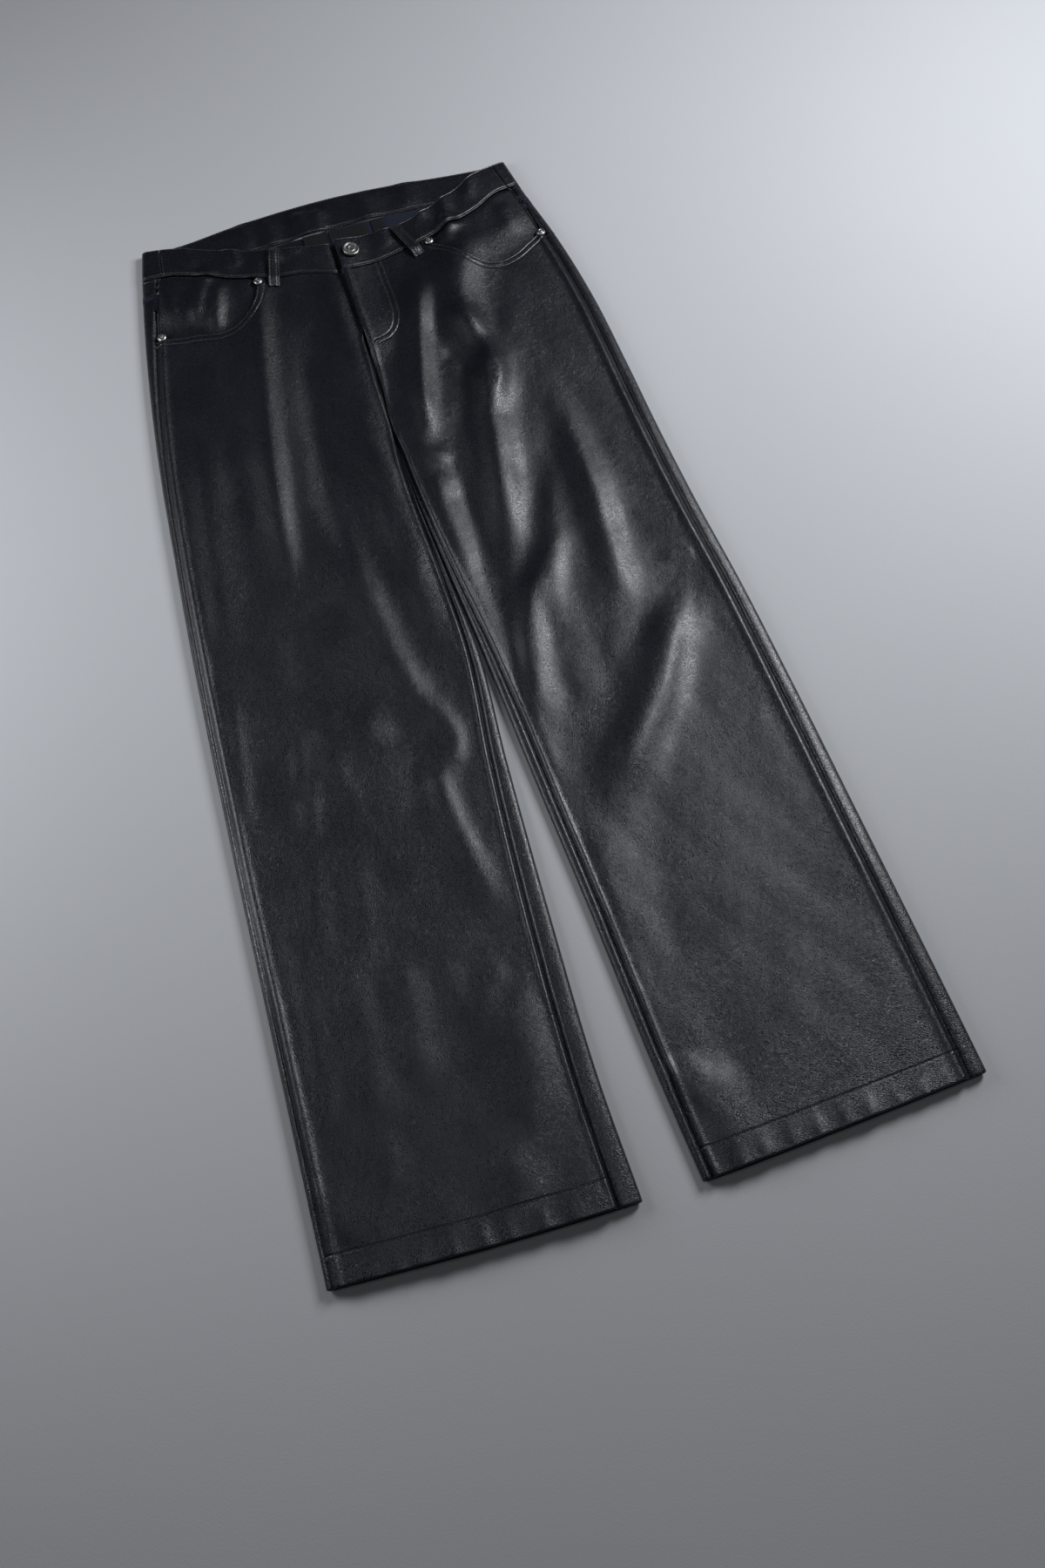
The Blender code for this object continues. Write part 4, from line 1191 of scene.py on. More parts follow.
def front_surface(half, scoop, lap):
    """Front: across from the side seam to the inner one, up from the hem to pocket and band."""
    pocket_end = scoop[-1][0] if half is RIGHT else scoop[0][0]

    def upper(x):
        in_pocket = x < pocket_end if half is RIGHT else x > pocket_end
        line = np.where(in_pocket, line_across(scoop, x), line_across(FRONT_BAND_FOOT, x))
        return line - SEAM_GAP / 2

    def surface(share, offset, row_share, row_offset):
        y = FRONT_START_Y * row_share + row_offset
        for _ in range(SETTLE):
            start = half.at("outer_strip", y) + SEAM_GAP / 2
            end = half.arc(y) - half.inner_strip(y) - INSEAM_GAP / 2
            end = end + lap * smoothstep((y - FLY_END_Y - LAP_START) / LAP_RUN)
            s = start + (end - start) * share + offset
            x, _ = half.place(s, y, True)
            y = between(line_across(HEM, x), upper(x), row_share, row_offset)
        x, y, z = half.surface(s, y, True)
        if half is LEFT:
            z = z + lap_over(x, y) + fly_edge_lift(x, y)
        return x, y, z

    return surface


def back_surface(half, low_lines, high_lines):
    """Back piece: round the ring from the strip on top beside the side seam to the inner strip.

    Each pair of lines is that along the underside, and that along the strip on top.
    """

    def surface(share, offset, row_share, row_offset):
        y = everywhere(BACK_START_Y, share, row_share)
        for _ in range(SETTLE):
            start = -(half.at("outer_strip", y) - SEAM_GAP / 2)
            margin = SEAM_MARGIN * (1.0 - smoothstep((CROTCH_Y - y) / INSEAM_FADE))
            last = half.arc(y) - margin
            end = half.arc(y) + half.inner_strip(y) - INSEAM_GAP / 2
            strip = start * (1.0 - share / STRIP)
            below = last * (share - STRIP) / (1.0 - 2 * STRIP)
            beyond = last + (end - last) * (share - (1.0 - STRIP)) / STRIP
            inwards = np.where(share < 1.0 - STRIP, below, beyond)
            p = np.where(share < STRIP, strip, inwards) + offset
            x, _ = half.place(p, y, False)
            low = np.where(p < 0, low_lines[1](x), low_lines[0](x))
            high = np.where(p < 0, high_lines[1](x), high_lines[0](x))
            y = between(low, high, row_share, row_offset)
        p = np.minimum(p, half.arc(y) + half.inner_strip(y))
        return half.surface(p, y, False)

    return surface


def seam_line(line, offset):
    """A line across the garment, moved along by a seam's share of the gap."""
    return lambda x: line_across(line, x) + offset


def level_line(y):
    """A line straight across at y."""
    return lambda x: y + 0.0 * x


def beside(points, x, y):
    """Distance to the left of a line of points, in its own direction; less than 0 at its right."""
    best = np.full(np.shape(x), np.inf)
    signed = np.full(np.shape(x), np.inf)
    for a, b in zip(points[:-1], points[1:]):
        _, distance, side = onto(a, b, x, y)
        signed = np.where(distance < best, np.sign(side) * distance, signed)
        best = np.minimum(best, distance)
    return signed


def front_insets(half, scoop, x, y):
    """Distances from the pocket's edge, the hem's stitched row, and on the left the fly's."""
    from_pocket = -beside(flowing(scoop, 0.0), x, y)
    insets = {
        "edge_inset": np.where(y < POCKET_INSET_Y, FAR_INSET, from_pocket),
        "row_inset": y - line_across(HEM, x) - HEM_STITCH,
    }
    if half is LEFT:
        from_fly = -beside(flowing(FLY_ROW, 0.0), x, y) + ROW_INSETS[0]
        insets["fly_inset"] = np.where(y < FLY_INSET_Y, FAR_INSET, from_fly)
    return insets


def band_insets(points, foot, head):
    """Distance from a waistband's nearer long edge."""
    x, y = points[..., 0], points[..., 1]
    return {"band_inset": np.minimum(y - line_across(foot, x), line_across(head, x) - y)}


def leather_panel(node, points, half, settings, cut, inside=None, insets=None):
    """One panel in a node's place: a wall of leather, backed with knit unless told otherwise."""
    obj = piece(
        node + "_leather", points, leather(), half.inwards * cut["faces"], insets=insets,
        wall=settings.thickness, inside=inside or knit(),
    )
    dress(obj, node)


def build_fronts(settings):
    """Both fronts: hem turned up, pocket edge and fly edge turned in."""
    outer = seam_edge(settings.seam_dip, settings.seam_swell, OUTER_CREST)
    inner = seam_edge(settings.seam_dip, settings.seam_swell * INNER_SWELL, INNER_CREST)
    hem = turned_edge(settings.hem_radius, HEM_STITCH - HEM_TUCK, FRONT_HEM_STEPS)
    columns = spread(outer, inner, FRONT_GRID[0])
    rows = spread(hem, turned_edge(*FRONT_TOP), FRONT_GRID[1])
    for half, scoop, lap in ((RIGHT, RIGHT_SCOOP, FLY_LAP), (LEFT, LEFT_SCOOP, 0.0)):
        points = lay(front_surface(half, scoop, lap), columns, rows, half.inwards)
        insets = front_insets(half, scoop, points[..., 0], points[..., 1])
        leather_panel(f"front_{half.name}", points, half, settings, FRONT_CUT, insets=insets)


def build_backs(settings):
    """Both backs and yokes, rolled round the outer edge and the inner one."""
    side = seam_edge(settings.seam_dip, settings.seam_swell * BACK_SWELL, INNER_CREST)
    columns = ring_columns(side)
    hem = turned_edge(settings.hem_radius, HEM_STITCH - HEM_TUCK, BACK_HEM_STEPS)
    seam = turned_edge(*BACK_SEAM)
    gap = SEAM_GAP / 2
    for half in (RIGHT, LEFT):
        at_edge = float(line_across(YOKE_FOOT, half.at("outer", YOKE_EDGE_Y)))
        low = (seam_line(HEM, 0.0), seam_line(HEM, 0.0))
        high = (seam_line(YOKE_FOOT, -gap), level_line(at_edge - gap))
        rows = spread(hem, seam, BACK_ROWS)
        points = lay(back_surface(half, low, high), columns, rows, -half.inwards)
        leather_panel(f"back_{half.name}", points, half, settings, BACK_CUT)
        low = (seam_line(YOKE_FOOT, gap), level_line(at_edge + gap))
        high = (seam_line(BACK_BAND_FOOT, -gap), seam_line(FRONT_BAND_FOOT, -gap))
        rows = spread(seam, seam, YOKE_ROWS)
        points = lay(back_surface(half, low, high), columns, rows, -half.inwards)
        lining = knit() if half is LEFT else leather()
        leather_panel(f"yoke_{half.name}", points, half, settings, YOKE_CUT, inside=lining)


def ring_columns(side):
    """Stations round a back piece: the strip on top, the rolled edge, underneath and back up."""
    strip = [(0.0, offset, drop) for offset, drop in side[:STRIP_STATIONS]]
    onward = [(share, 0.0, 0.0) for share in STRIP_SHARES]
    roll = [(STRIP, run, 0.0) for run in np.linspace(0.0, ROLL_RUN, ROLL_STATIONS)]
    flat = [(share, 0.0, 0.0) for share in np.linspace(*FLAT_SHARES)]
    back_up = [(1.0 - share, -run, drop) for share, run, drop in reversed(strip + onward + roll)]
    return np.array(strip + onward + roll + flat + back_up).T


def facing_surface(half, scoop):
    """Pocket facing: from the side seam to past the scoop's inner end, up to the waistband.

    It lies on the top face, less the front's wall and a gap near the scoop's edge.
    """
    inner_end = scoop[-1 if half is RIGHT else 0][0] + half.inwards * FACING_SIDE_TUCK

    def surface(share, offset, row_share, row_offset):
        y = everywhere(YOKE_EDGE_Y, share, row_share)
        for _ in range(SETTLE):
            seam, _ = half.place(half.at("outer_strip", y) + FACING_EDGE_GAP, y, True)
            x = seam + (inner_end - seam) * share + offset * half.inwards
            edge = line_across(scoop, x)
            high = line_across(FRONT_BAND_FOOT, x) - FACING_TOP_GAP
            y = between(edge - FACING_TUCK, high, row_share, row_offset)
        s = half.at("outer_strip", y) + FACING_EDGE_GAP + np.abs(x - seam)
        x, y, z = half.surface(s, y, True)
        rise = smoothstep((y - edge - FACING_RISE_FROM) / FACING_RISE)
        return x, y, z - (FACING_WALL + FACING_GAP) * (1.0 - rise)

    return surface


def build_facings(settings):
    """The facings that close the scooped pockets."""
    side = seam_edge(settings.seam_dip, 0.0, OUTER_CREST)
    columns = spread(side, CUT_EDGE, FACING_GRID[0])
    rows = spread(CUT_EDGE, side, FACING_GRID[1])
    for half, scoop in ((RIGHT, RIGHT_SCOOP), (LEFT, LEFT_SCOOP)):
        points = lay(facing_surface(half, scoop), columns, rows, half.inwards)
        leather_panel(f"pocket_facing_{half.name}", points, half, settings, FACING_CUT)


def band_end(half, y):
    """x of a front waistband's side seam at y."""
    return line_across(RIGHT_BAND_SEAM if half is RIGHT else LEFT_BAND_SEAM, y)


def band_edge(radius):
    """Stations at a band's rounded end."""
    turns = np.linspace(0.0, math.pi / 2, 5)
    return [(radius * (1 - math.cos(turn)), 0.0) for turn in turns] + [(BAND_END_STEP, 0.0)]


def front_band_surface(half):
    """Front waistband: from the side seam to its end at the fly, between its two lines.

    It stands proud of the top face. The left one rides over the fly, the right one dips under.
    """

    def surface(share, offset, row_share, row_offset):
        y = everywhere(YOKE_EDGE_Y, share, row_share)
        end = half.at("inner", y) + (BAND_UNDERLAP if half is RIGHT else 0.0)
        for _ in range(SETTLE):
            seam = band_end(half, y) + half.inwards * SEAM_GAP / 2
            x = seam + (end - seam) * share + offset * half.inwards
            low = line_across(FRONT_BAND_FOOT, x) + SEAM_GAP / 2
            y = between(low, line_across(FRONT_BAND_TOP, x), row_share, row_offset)
        z = half.height(x, y) + BAND_PROUD
        if half is LEFT:
            return x, y, z + lap_over(x, y)
        under = smoothstep((x - end + BAND_UNDERLAP + FLY_LAP) / FLY_LAP)
        return x, y, z - BAND_UNDERLAP_DROP * under

    return surface


def back_band_side(half, share, offset, row_share, row_offset):
    """The back waistband at one half's side, in its own folds.

    Its first tenth is the strip on top, from the side seam out to the rolled edge. The rest
    runs back underneath to the middle, at the far end of the ring.
    """
    from_end = np.minimum(share, 1.0 - share)
    y = everywhere(YOKE_EDGE_Y, share, row_share)
    for _ in range(SETTLE):
        strip = np.abs(band_end(half, y) - half.at("outer", y)) - SEAM_GAP / 2
        strip = strip + ROLL * (math.pi / 2 - 1)
        on_strip = -strip * (1.0 - from_end / STRIP)
        below = half.arc(y) * (from_end - STRIP) / (0.5 - STRIP)
        p = np.where(from_end < STRIP, on_strip, below)
        p = p - offset * half.inwards
        x, _ = half.place(p, y, False)
        foot, head = (
            np.where(p < 0, line_across(top, x), line_across(underneath, x))
            for top, underneath in (
                (FRONT_BAND_FOOT, BACK_BAND_FOOT), (FRONT_BAND_TOP, BACK_BAND_TOP),
            )
        )
        y = between(foot + SEAM_GAP / 2, head, row_share, row_offset)
    p = np.minimum(p, half.arc(y))
    x, y, z = half.surface(p, y, False, BAND_PROUD)
    folds = sum(ridge(x, y, fold) for fold in BACK_BAND_FOLDS)
    return x, y, z + np.where(p > BACK_BAND_FOLDS_FROM, folds, 0.0)


def back_band_surface(share, offset, row_share, row_offset):
    """Back waistband: from the left side seam underneath to the right one."""
    sides = [back_band_side(half, share, offset, row_share, row_offset) for half in (LEFT, RIGHT)]
    return tuple(np.where(share < 0.5, left, right) for left, right in zip(*sides))


def band_piece(name, surface, columns, outward, lines):
    """A folded band in a node's place; where it lies high, the second lines are its edges."""
    rows = tube_round(BAND_RADIUS, BAND_GRID[1])
    points = lay(surface, columns, rows, outward, rounded=BAND_RADIUS)
    below, above = (band_insets(points, foot, head) for foot, head in lines)
    high = points[..., 2] > BAND_TOP_HEIGHT
    insets = {key: np.where(high, above[key], below[key]) for key in below}
    obj = piece(name + "_leather", points, leather(), outward, round_it=True, insets=insets)
    dress(obj, name)


def build_waistband():
    """Front waistbands, and the back one that runs round both sides."""
    on_top = (FRONT_BAND_FOOT, FRONT_BAND_TOP)
    edge = band_edge(BAND_RADIUS)
    columns = spread(edge, edge, BAND_GRID[0])
    for half in (RIGHT, LEFT):
        name, surface = f"waistband_front_{half.name}", front_band_surface(half)
        band_piece(name, surface, columns, half.inwards, (on_top, on_top))
    strip = [(0.0, offset, drop) for offset, drop in edge]
    near = [(share, 0.0, 0.0) for share in np.linspace(0.02, STRIP, 13)[:-1]]
    roll = [(share, 0.0, 0.0) for share in np.linspace(STRIP, 0.12, 9)]
    flat = [(share, 0.0, 0.0) for share in np.linspace(0.13, 0.5, 44)[:-1]]
    one = strip + near + roll + flat
    other = [(1.0 - share, -offset, drop) for share, offset, drop in reversed(one)]
    columns = np.array(one + [(0.5, 0.0, 0.0)] + other).T
    lines = ((BACK_BAND_FOOT, BACK_BAND_TOP), on_top)
    band_piece("waistband_back", back_band_surface, columns, 1.0, lines)


class Loop:
    """A belt loop: a strip that bows up between its seated ends."""

    def __init__(self, half, top, foot):
        """The half it is on, and its ends; from them its length and its two directions."""
        self.half = half
        self.foot = np.array(foot, float)
        along = np.array(top, float) - self.foot
        self.long = float(np.linalg.norm(along))
        self.ahead = along / self.long
        self.side = np.array([self.ahead[1], -self.ahead[0]])

    def at(self, run, out):
        """x and y a run up from the foot, and out to the side of the middle."""
        return tuple(self.foot[i] + self.ahead[i] * run + self.side[i] * out for i in (0, 1))

    def height(self, x, y):
        """Height of the strip's outer face."""
        run = (x - self.foot[0]) * self.ahead[0] + (y - self.foot[1]) * self.ahead[1]
        onto_band = smoothstep(run / self.long / LOOP_END)
        bow = LOOP_BULGE * onto_band * smoothstep((1.0 - run / self.long) / LOOP_END)
        seat = lying_on(self.half, x, y) + BAND_PROUD * onto_band + LOOP_SEAT
        return seat + LOOP_WALL + bow

    def row(self, out):
        """A stitched row along the strip."""
        x, y = self.at(np.linspace(LOOP_ROW_INSET, self.long - LOOP_ROW_INSET, 16), out)
        return np.stack([x, y], axis=1)

    def bar(self, run):
        """A row across the strip."""
        half_width = LOOP_WIDTH / 2 - 1.0
        x, y = self.at(run, np.linspace(-half_width, half_width, 6))
        return np.stack([x, y], axis=1)


def loops():
    """Both belt loops by name."""
    halves = (RIGHT, LEFT)
    return {name: Loop(half, *ends) for half, (name, ends) in zip(halves, LOOPS.items())}


def build_loops():
    """Belt loops: folded strips that bow up between their seated ends."""
    for name, loop in loops().items():

        def surface(share, offset, row_share, row_offset, loop=loop):
            out = LOOP_WIDTH * (row_share - 0.5) + row_offset
            x, y = loop.at(loop.long * share + offset, out)
            return x, y, loop.height(x, y)

        radius = LOOP_WALL / 2
        columns = spread(band_edge(radius), band_edge(radius), LOOP_GRID[0])
        points = lay(surface, columns, tube_round(radius, LOOP_GRID[1]), -1.0, rounded=radius)
        away = (points[..., :2] - loop.foot) @ loop.side
        insets = {"band_inset": LOOP_WIDTH / 2 - np.abs(away)}
        obj = piece(name + "_leather", points, leather(), -1.0, round_it=True, insets=insets)
        dress(obj, name)


# ---------------------------------------------------------------- metal and labels


def turned_piece(name, profile, place, half, proud, settings):
    """A profile of (radius, height) carried round an axis square to the leather under it."""
    x, y = (np.array([value], float) for value in place)
    slope_x, slope_y = slopes(lambda x, y: lying_on(half, x, y), x, y, SLOPE_STEP)
    normal = Vector((-float(slope_x[0]), -float(slope_y[0]), 1.0))
    turn = np.array(normal.to_track_quat("Z", "Y").to_matrix())
    base = np.array([place[0], place[1], float(lying_on(half, x, y)[0]) + proud])
    profile = np.array(profile, float)
    angles = np.linspace(0.0, math.tau, settings.segments, endpoint=False)
    radius, height = profile[:, 0][None, :], profile[:, 1][None, :]
    ring = np.stack(
        [
            np.cos(angles)[:, None] * radius,
            np.sin(angles)[:, None] * radius,
            height + 0.0 * angles[:, None],
        ],
        axis=-1,
    )
    points = ring @ turn.T + base
    material = finish_of("antique_silver", metal_finish, settings)
    dress(piece(name + "_metal", points, material, -1.0, round_it=True), name)


def soft_profile(corners):
    """A profile's corners joined by short straight runs, so that its shading stays crisp."""
    corners = np.array(corners, float)
    shares = np.linspace(0.0, 1.0, 3, endpoint=False)
    runs = [a + (b - a) * t for a, b in zip(corners[:-1], corners[1:]) for t in shares]
    return np.array(runs + [corners[-1]])


BUTTON_PROFILE = (
    (0.001, 4.25), (2.2, 4.2), (2.6, 4.5), (3.3, 4.5), (3.7, 4.1), (6.1, 4.0), (6.5, 4.5),
    (7.3, 4.6), (8.1, 4.1), (8.5, 3.2), (8.3, 2.4), (7.6, 1.9), (3.0, 1.5), (2.8, 0.3),
    (0.001, 0.3),
)
RIVET_PROFILE = (
    (0.001, 2.5), (0.9, 2.45), (1.3, 2.1), (1.9, 2.0), (2.3, 2.2), (3.0, 2.1), (3.9, 1.5),
    (4.5, 0.8), (4.5, 0.3), (0.001, 0.3),
)


def build_metalwork(settings):
    """The shank button and the four pocket rivets, with plain rings for relief."""
    button = soft_profile(BUTTON_PROFILE)
    turned_piece("button", button, BUTTON_AT, LEFT, BAND_PROUD, settings)
    rivet = soft_profile(RIVET_PROFILE)
    for number, place in enumerate(RIVETS_AT, start=1):
        half = RIGHT if place[0] < 0 else LEFT
        turned_piece(f"rivet_{number}", rivet, place, half, RIVET_PROUD, settings)


def build_labels():
    """Label and size tag, bare, on the inner face of the yokes."""
    for name, xs, ys in (("label", LABEL_X, LABEL_Y), ("size_tag", TAG_X, TAG_Y)):
        material = woven("woven_" + name, LABEL_COLOUR)

        def surface(share, offset, row_share, row_offset, xs=xs, ys=ys):
            x = between(*xs, share, offset)
            y = between(*ys, row_share, row_offset)
            lift = LABEL_WAVE_HEIGHT * np.sin((x - xs[0]) * LABEL_WAVE_PACE) ** 2
            return x, y, LABEL_HEIGHT + LABEL_WALL + lift

        columns, rows = (spread(LABEL_EDGE, LABEL_EDGE, count) for count in LABEL_GRID)
        points = lay(surface, columns, rows, 1.0)
        obj = piece(name + "_cloth", points, material, 1.0, wall=LABEL_CLOTH)
        dress(obj, name)


# ---------------------------------------------------------------- sewing


def finish_zip():
    """Give the zip's own solid a woven finish: the fly hides it."""
    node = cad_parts["fly_zip"]
    node.data.materials.clear()
    node.data.materials.append(woven("zip_tape", TAPE_COLOUR))


def stitch_shape(settings):
    """One stitch: a round thread that dips into the leather at both ends."""
    along = np.linspace(-1.0, 1.0, 7)
    thick = settings.width / 2 * np.sqrt(np.clip(1.0 - along**6, 0.04, 1.0))
    lift = 0.26 * (1.0 - along**4) - 0.16
    angles = np.linspace(0.0, math.tau, 6, endpoint=False)
    ring = np.stack(
        [
            along[:, None] * settings.length / 2 + 0.0 * angles,
            thick[:, None] * np.cos(angles),
            lift[:, None] + 0.8 * thick[:, None] * np.sin(angles),
        ],
        axis=-1,
    )
    index = np.arange(42).reshape(7, 6)
    following = np.roll(index, -1, axis=1)
    sides = np.stack([index[:-1], following[:-1], following[1:], index[1:]], axis=-1)
    return ring.reshape(-1, 3), sides.reshape(-1, 4)


class Row:
    """A row of stitches: its line, the height it lies at, and how the stitches stand on it."""

    def __init__(self, line, height, pitch=1.0, length=1.0, crosswise=False):
        """Pitch and length are shares of the thread's own."""
        self.line = np.array(line, float)
        self.height = height
        self.pitch = pitch
        self.length = length
        self.crosswise = crosswise

    def frames(self, pitch):
        """Middle, direction ahead and direction up of every stitch."""
        line = self.line
        runs = run_along(line)
        steps = np.arange(pitch * self.pitch / 2, runs[-1], pitch * self.pitch)
        x, y = (np.interp(steps, runs, line[:, i]) for i in (0, 1))
        dx, dy = (
            np.interp(steps + 0.5, runs, line[:, i]) - np.interp(steps - 0.5, runs, line[:, i])
            for i in (0, 1)
        )
        if self.crosswise:
            dx, dy = -dy, dx
        slope_x, slope_y = slopes(self.height, x, y, STITCH_SLOPE_STEP)
        place = np.stack([x, y, self.height(x, y)], axis=1)
        ahead = np.stack([dx, dy, slope_x * dx + slope_y * dy], axis=1)
        up = np.stack([-slope_x, -slope_y, np.ones_like(x)], axis=1)
        ahead = ahead / np.linalg.norm(ahead, axis=1, keepdims=True)
        return place, ahead, up / np.linalg.norm(up, axis=1, keepdims=True)


def sew(name, rows, settings):
    """All stitches of some rows as one piece, each turned to its row and to the leather."""
    shape, quads = stitch_shape(settings)
    points = []
    for row in rows:
        place, ahead, up = row.frames(settings.pitch)
        side = np.cross(up, ahead)
        points.append(
            place[:, None]
            + shape[None, :, :1] * ahead[:, None] * row.length
            + shape[None, :, 1:2] * side[:, None]
            + shape[None, :, 2:] * up[:, None]
        )
    points = np.concatenate(points)
    faces = quads[None] + (np.arange(len(points)) * len(shape))[:, None, None]
    add_mesh(name, points, faces.reshape(-1, 4), finish_of("thread", thread_finish, settings))


def on_panel(half, lift=0.0):
    """Height of stitches on a front, or a lift above it."""
    return lambda x, y: lying_on(half, x, y) + lift


def along_line(line, ends, offset):
    """Points beside a line across the garment, a fixed way up from it."""
    x = np.arange(*ends, ROW_STEP)
    return np.stack([x, line_across(line, x) + offset], axis=1)


def hem_rows():
    """One row round each hem."""
    for half, ends in zip((RIGHT, LEFT), HEM_ROWS):
        yield Row(along_line(HEM, ends, HEM_STITCH), on_panel(half))


def pocket_rows():
    """Two rows beside each scoop's edge."""
    for half, scoop in ((RIGHT, RIGHT_SCOOP), (LEFT, LEFT_SCOOP)):
        for inset in ROW_INSETS:
            yield Row(flowing(scoop, inset), on_panel(half))


def fly_rows():
    """The fly's two curved rows, the row below it and the bar at its foot."""
    near, far = ROW_INSETS
    height = on_panel(LEFT)
    for inset in (0.0, far - near):
        yield Row(flowing(FLY_ROW, inset), height, pitch=0.85, length=0.85)
    yield Row(flowing(RISE_ROW, 0.0), height)
    yield Row(FLY_BAR, height, pitch=0.22, length=0.9, crosswise=True)


def inside_waist(x, y):
    """Height of the stitches on the back waistband's inner face."""
    return BACK_BAND_ROW_HEIGHT + 0.0 * (x + y)


def band_rows():
    """Rows along both edges of the bands, up their side seams, and round the buttonhole."""
    near = ROW_INSETS[0]
    heights = [on_panel(half, BAND_PROUD) for half in (RIGHT, LEFT)]
    for height, ends in zip(heights, BAND_ROWS):
        yield Row(along_line(FRONT_BAND_FOOT, ends, near), height)
        yield Row(along_line(FRONT_BAND_TOP, ends, -near), height)
    for half, height, ends in zip((RIGHT, LEFT), heights, BAND_UPRIGHTS):
        y = np.arange(*ends, UPRIGHT_STEP)
        x = band_end(half, y) + UPRIGHT_INSET * half.inwards
        yield Row(np.stack([x, y], axis=1), height)
    for line, offset in ((BACK_BAND_TOP, -near), (BACK_BAND_FOOT, near)):
        yield Row(along_line(line, BACK_BAND_ROW, offset), inside_waist)
    across = np.linspace(*BUTTONHOLE, 4)
    for way in (-1.0, 1.0):
        y = BUTTONHOLE_Y + BUTTONHOLE_SLOPE * (across - BUTTONHOLE[0]) + way
        hole = np.stack([across, y], axis=1)
        yield Row(hole, heights[1], pitch=0.2, length=0.55, crosswise=True)


def yoke_rows():
    """Short rows across the strips on top, at the ends of the yokes' seams."""
    for half, start in zip((RIGHT, LEFT), YOKE_ROW_STARTS):
        for y in start + YOKE_ROW_STEP * np.arange(YOKE_ROW_COUNT):
            outer = float(half.at("outer", y))
            strip = float(half.at("outer_strip", y))
            near, far = YOKE_ROW_INSETS[0], strip - YOKE_ROW_INSETS[1]
            line = [(outer + half.inwards * inset, y) for inset in (near, far)]
            yield Row(line, on_panel(half), pitch=0.8, length=0.8)


def loop_rows():
    """A row along each side of a loop, and a bar across its top."""
    for loop in loops().values():
        aside = LOOP_WIDTH / 2 - ROW_INSETS[0]
        for out in (-aside, aside):
            yield Row(loop.row(out), loop.height)
        bar = loop.bar(loop.long - LOOP_BAR_INSET)
        yield Row(bar, loop.height, pitch=0.2, length=0.8, crosswise=True)


SEWING = {
    "hem_stitching": hem_rows,
    "pocket_stitching": pocket_rows,
    "fly_stitching": fly_rows,
    "waistband_stitching": band_rows,
    "yoke_stitching": yoke_rows,
    "loop_stitching": loop_rows,
}


def build_sewing(settings):
    """Topstitching of hems, pockets, fly, rise, waistband, yokes and loops."""
    for name, rows in SEWING.items():
        sew(name, rows(), settings)


# ---------------------------------------------------------------- stage

CAMERA_PLACE = (-0.2120, -0.7734, 1.3980)
CAMERA_TILT = 1.1370969
CAMERA_ROLL = -0.0211437
CAMERA_HEADING = (0.32292, 0.94643)
CAMERA_SENSOR = 36.0
FLOOR_REACH = 12.0  # metres to each side
FLOOR_DROP = 0.0002
LIGHT_COLOUR = (0.96, 0.97, 1.03)
ROOM_COLOUR = (0.86, 0.91, 1.0, 1.0)
# Each light's place, the point it aims at, and its width, in metres
LIGHTS = {
    "key": ((1.05, 0.4, 0.92), (0.0, 0.35, 0.0), 0.6),
    "fill": ((-0.9, 0.3, 0.5), (0.0, 0.0, 0.0), 0.6),
    "upper": ((0.1, -0.5, 1.65), (0.0, -0.1, 0.0), 0.5),
}


def build_floor(settings):
    """A sheet of cloudy grey paper."""
    finish = Finish("floor_paper")
    cloudy = finish.noise(0.5, 3.0)
    light = tuple(settings.floor_colour)
    material = finish.set(
        Base_Color=finish.mix(cloudy, shade(light, 0.93), light),
        Roughness=0.7,
        Specular_IOR_Level=0.3,
        Normal=finish.bump(finish.noise(0.002, 3.0) * 0.0001),
    )
    mesh = bpy.data.meshes.new("floor")
    corners = ((-1, -1), (1, -1), (1, 1), (-1, 1))
    points = [(x * FLOOR_REACH, y * FLOOR_REACH, -FLOOR_DROP) for x, y in corners]
    mesh.from_pydata(points, [], [(0, 1, 2, 3)])
    mesh.materials.append(material)
    return add_object("floor", mesh)


def build_light(name, watts):
    """A square soft light, aimed at its point."""
    place, aim, width = LIGHTS[name]
    data = bpy.data.lights.new(name + "_light", "AREA")
    data.shape = "SQUARE"
    data.size = width
    data.energy = watts
    data.color = LIGHT_COLOUR
    lamp = add_object(name + "_light", data)
    lamp.location = place
    lamp.rotation_euler = (Vector(aim) - Vector(place)).to_track_quat("-Z", "Y").to_euler()
    return lamp


def build_camera(lens):
    """The camera, from its heading, tilt and roll."""
    data = bpy.data.cameras.new("camera")
    data.lens = lens
    data.sensor_width = CAMERA_SENSOR
    across = Vector((CAMERA_HEADING[1], -CAMERA_HEADING[0], 0.0))
    level, down = math.cos(CAMERA_TILT), math.sin(CAMERA_TILT)
    ahead = Vector((CAMERA_HEADING[0] * level, CAMERA_HEADING[1] * level, -down))
    above = across.cross(ahead)
    cos, sin = math.cos(CAMERA_ROLL), math.sin(CAMERA_ROLL)
    right = across * cos - above * sin
    up = across * sin + above * cos
    turn = Matrix((right, up, -ahead)).transposed()
    camera = add_object("camera", data)
    camera.matrix_world = Matrix.Translation(CAMERA_PLACE) @ turn.to_4x4()
    bpy.context.scene.camera = camera
    return camera


def build_stage(settings):
    """Floor, soft lights, the room's even light and the camera."""
    made = [build_floor(settings)]
    powers = (settings.key_power, settings.fill_power, settings.over_power)
    made += [build_light(name, watts) for name, watts in zip(LIGHTS, powers)]
    world = bpy.data.worlds.new("room")
    world.use_nodes = True
    room = world.node_tree.nodes["Background"].inputs
    room["Color"].default_value = ROOM_COLOUR
    room["Strength"].default_value = settings.sky_strength
    scene = bpy.context.scene
    scene.world = world
    made.append(build_camera(settings.lens))
    scene.view_settings.view_transform = "Standard"


# ---------------------------------------------------------------- operators


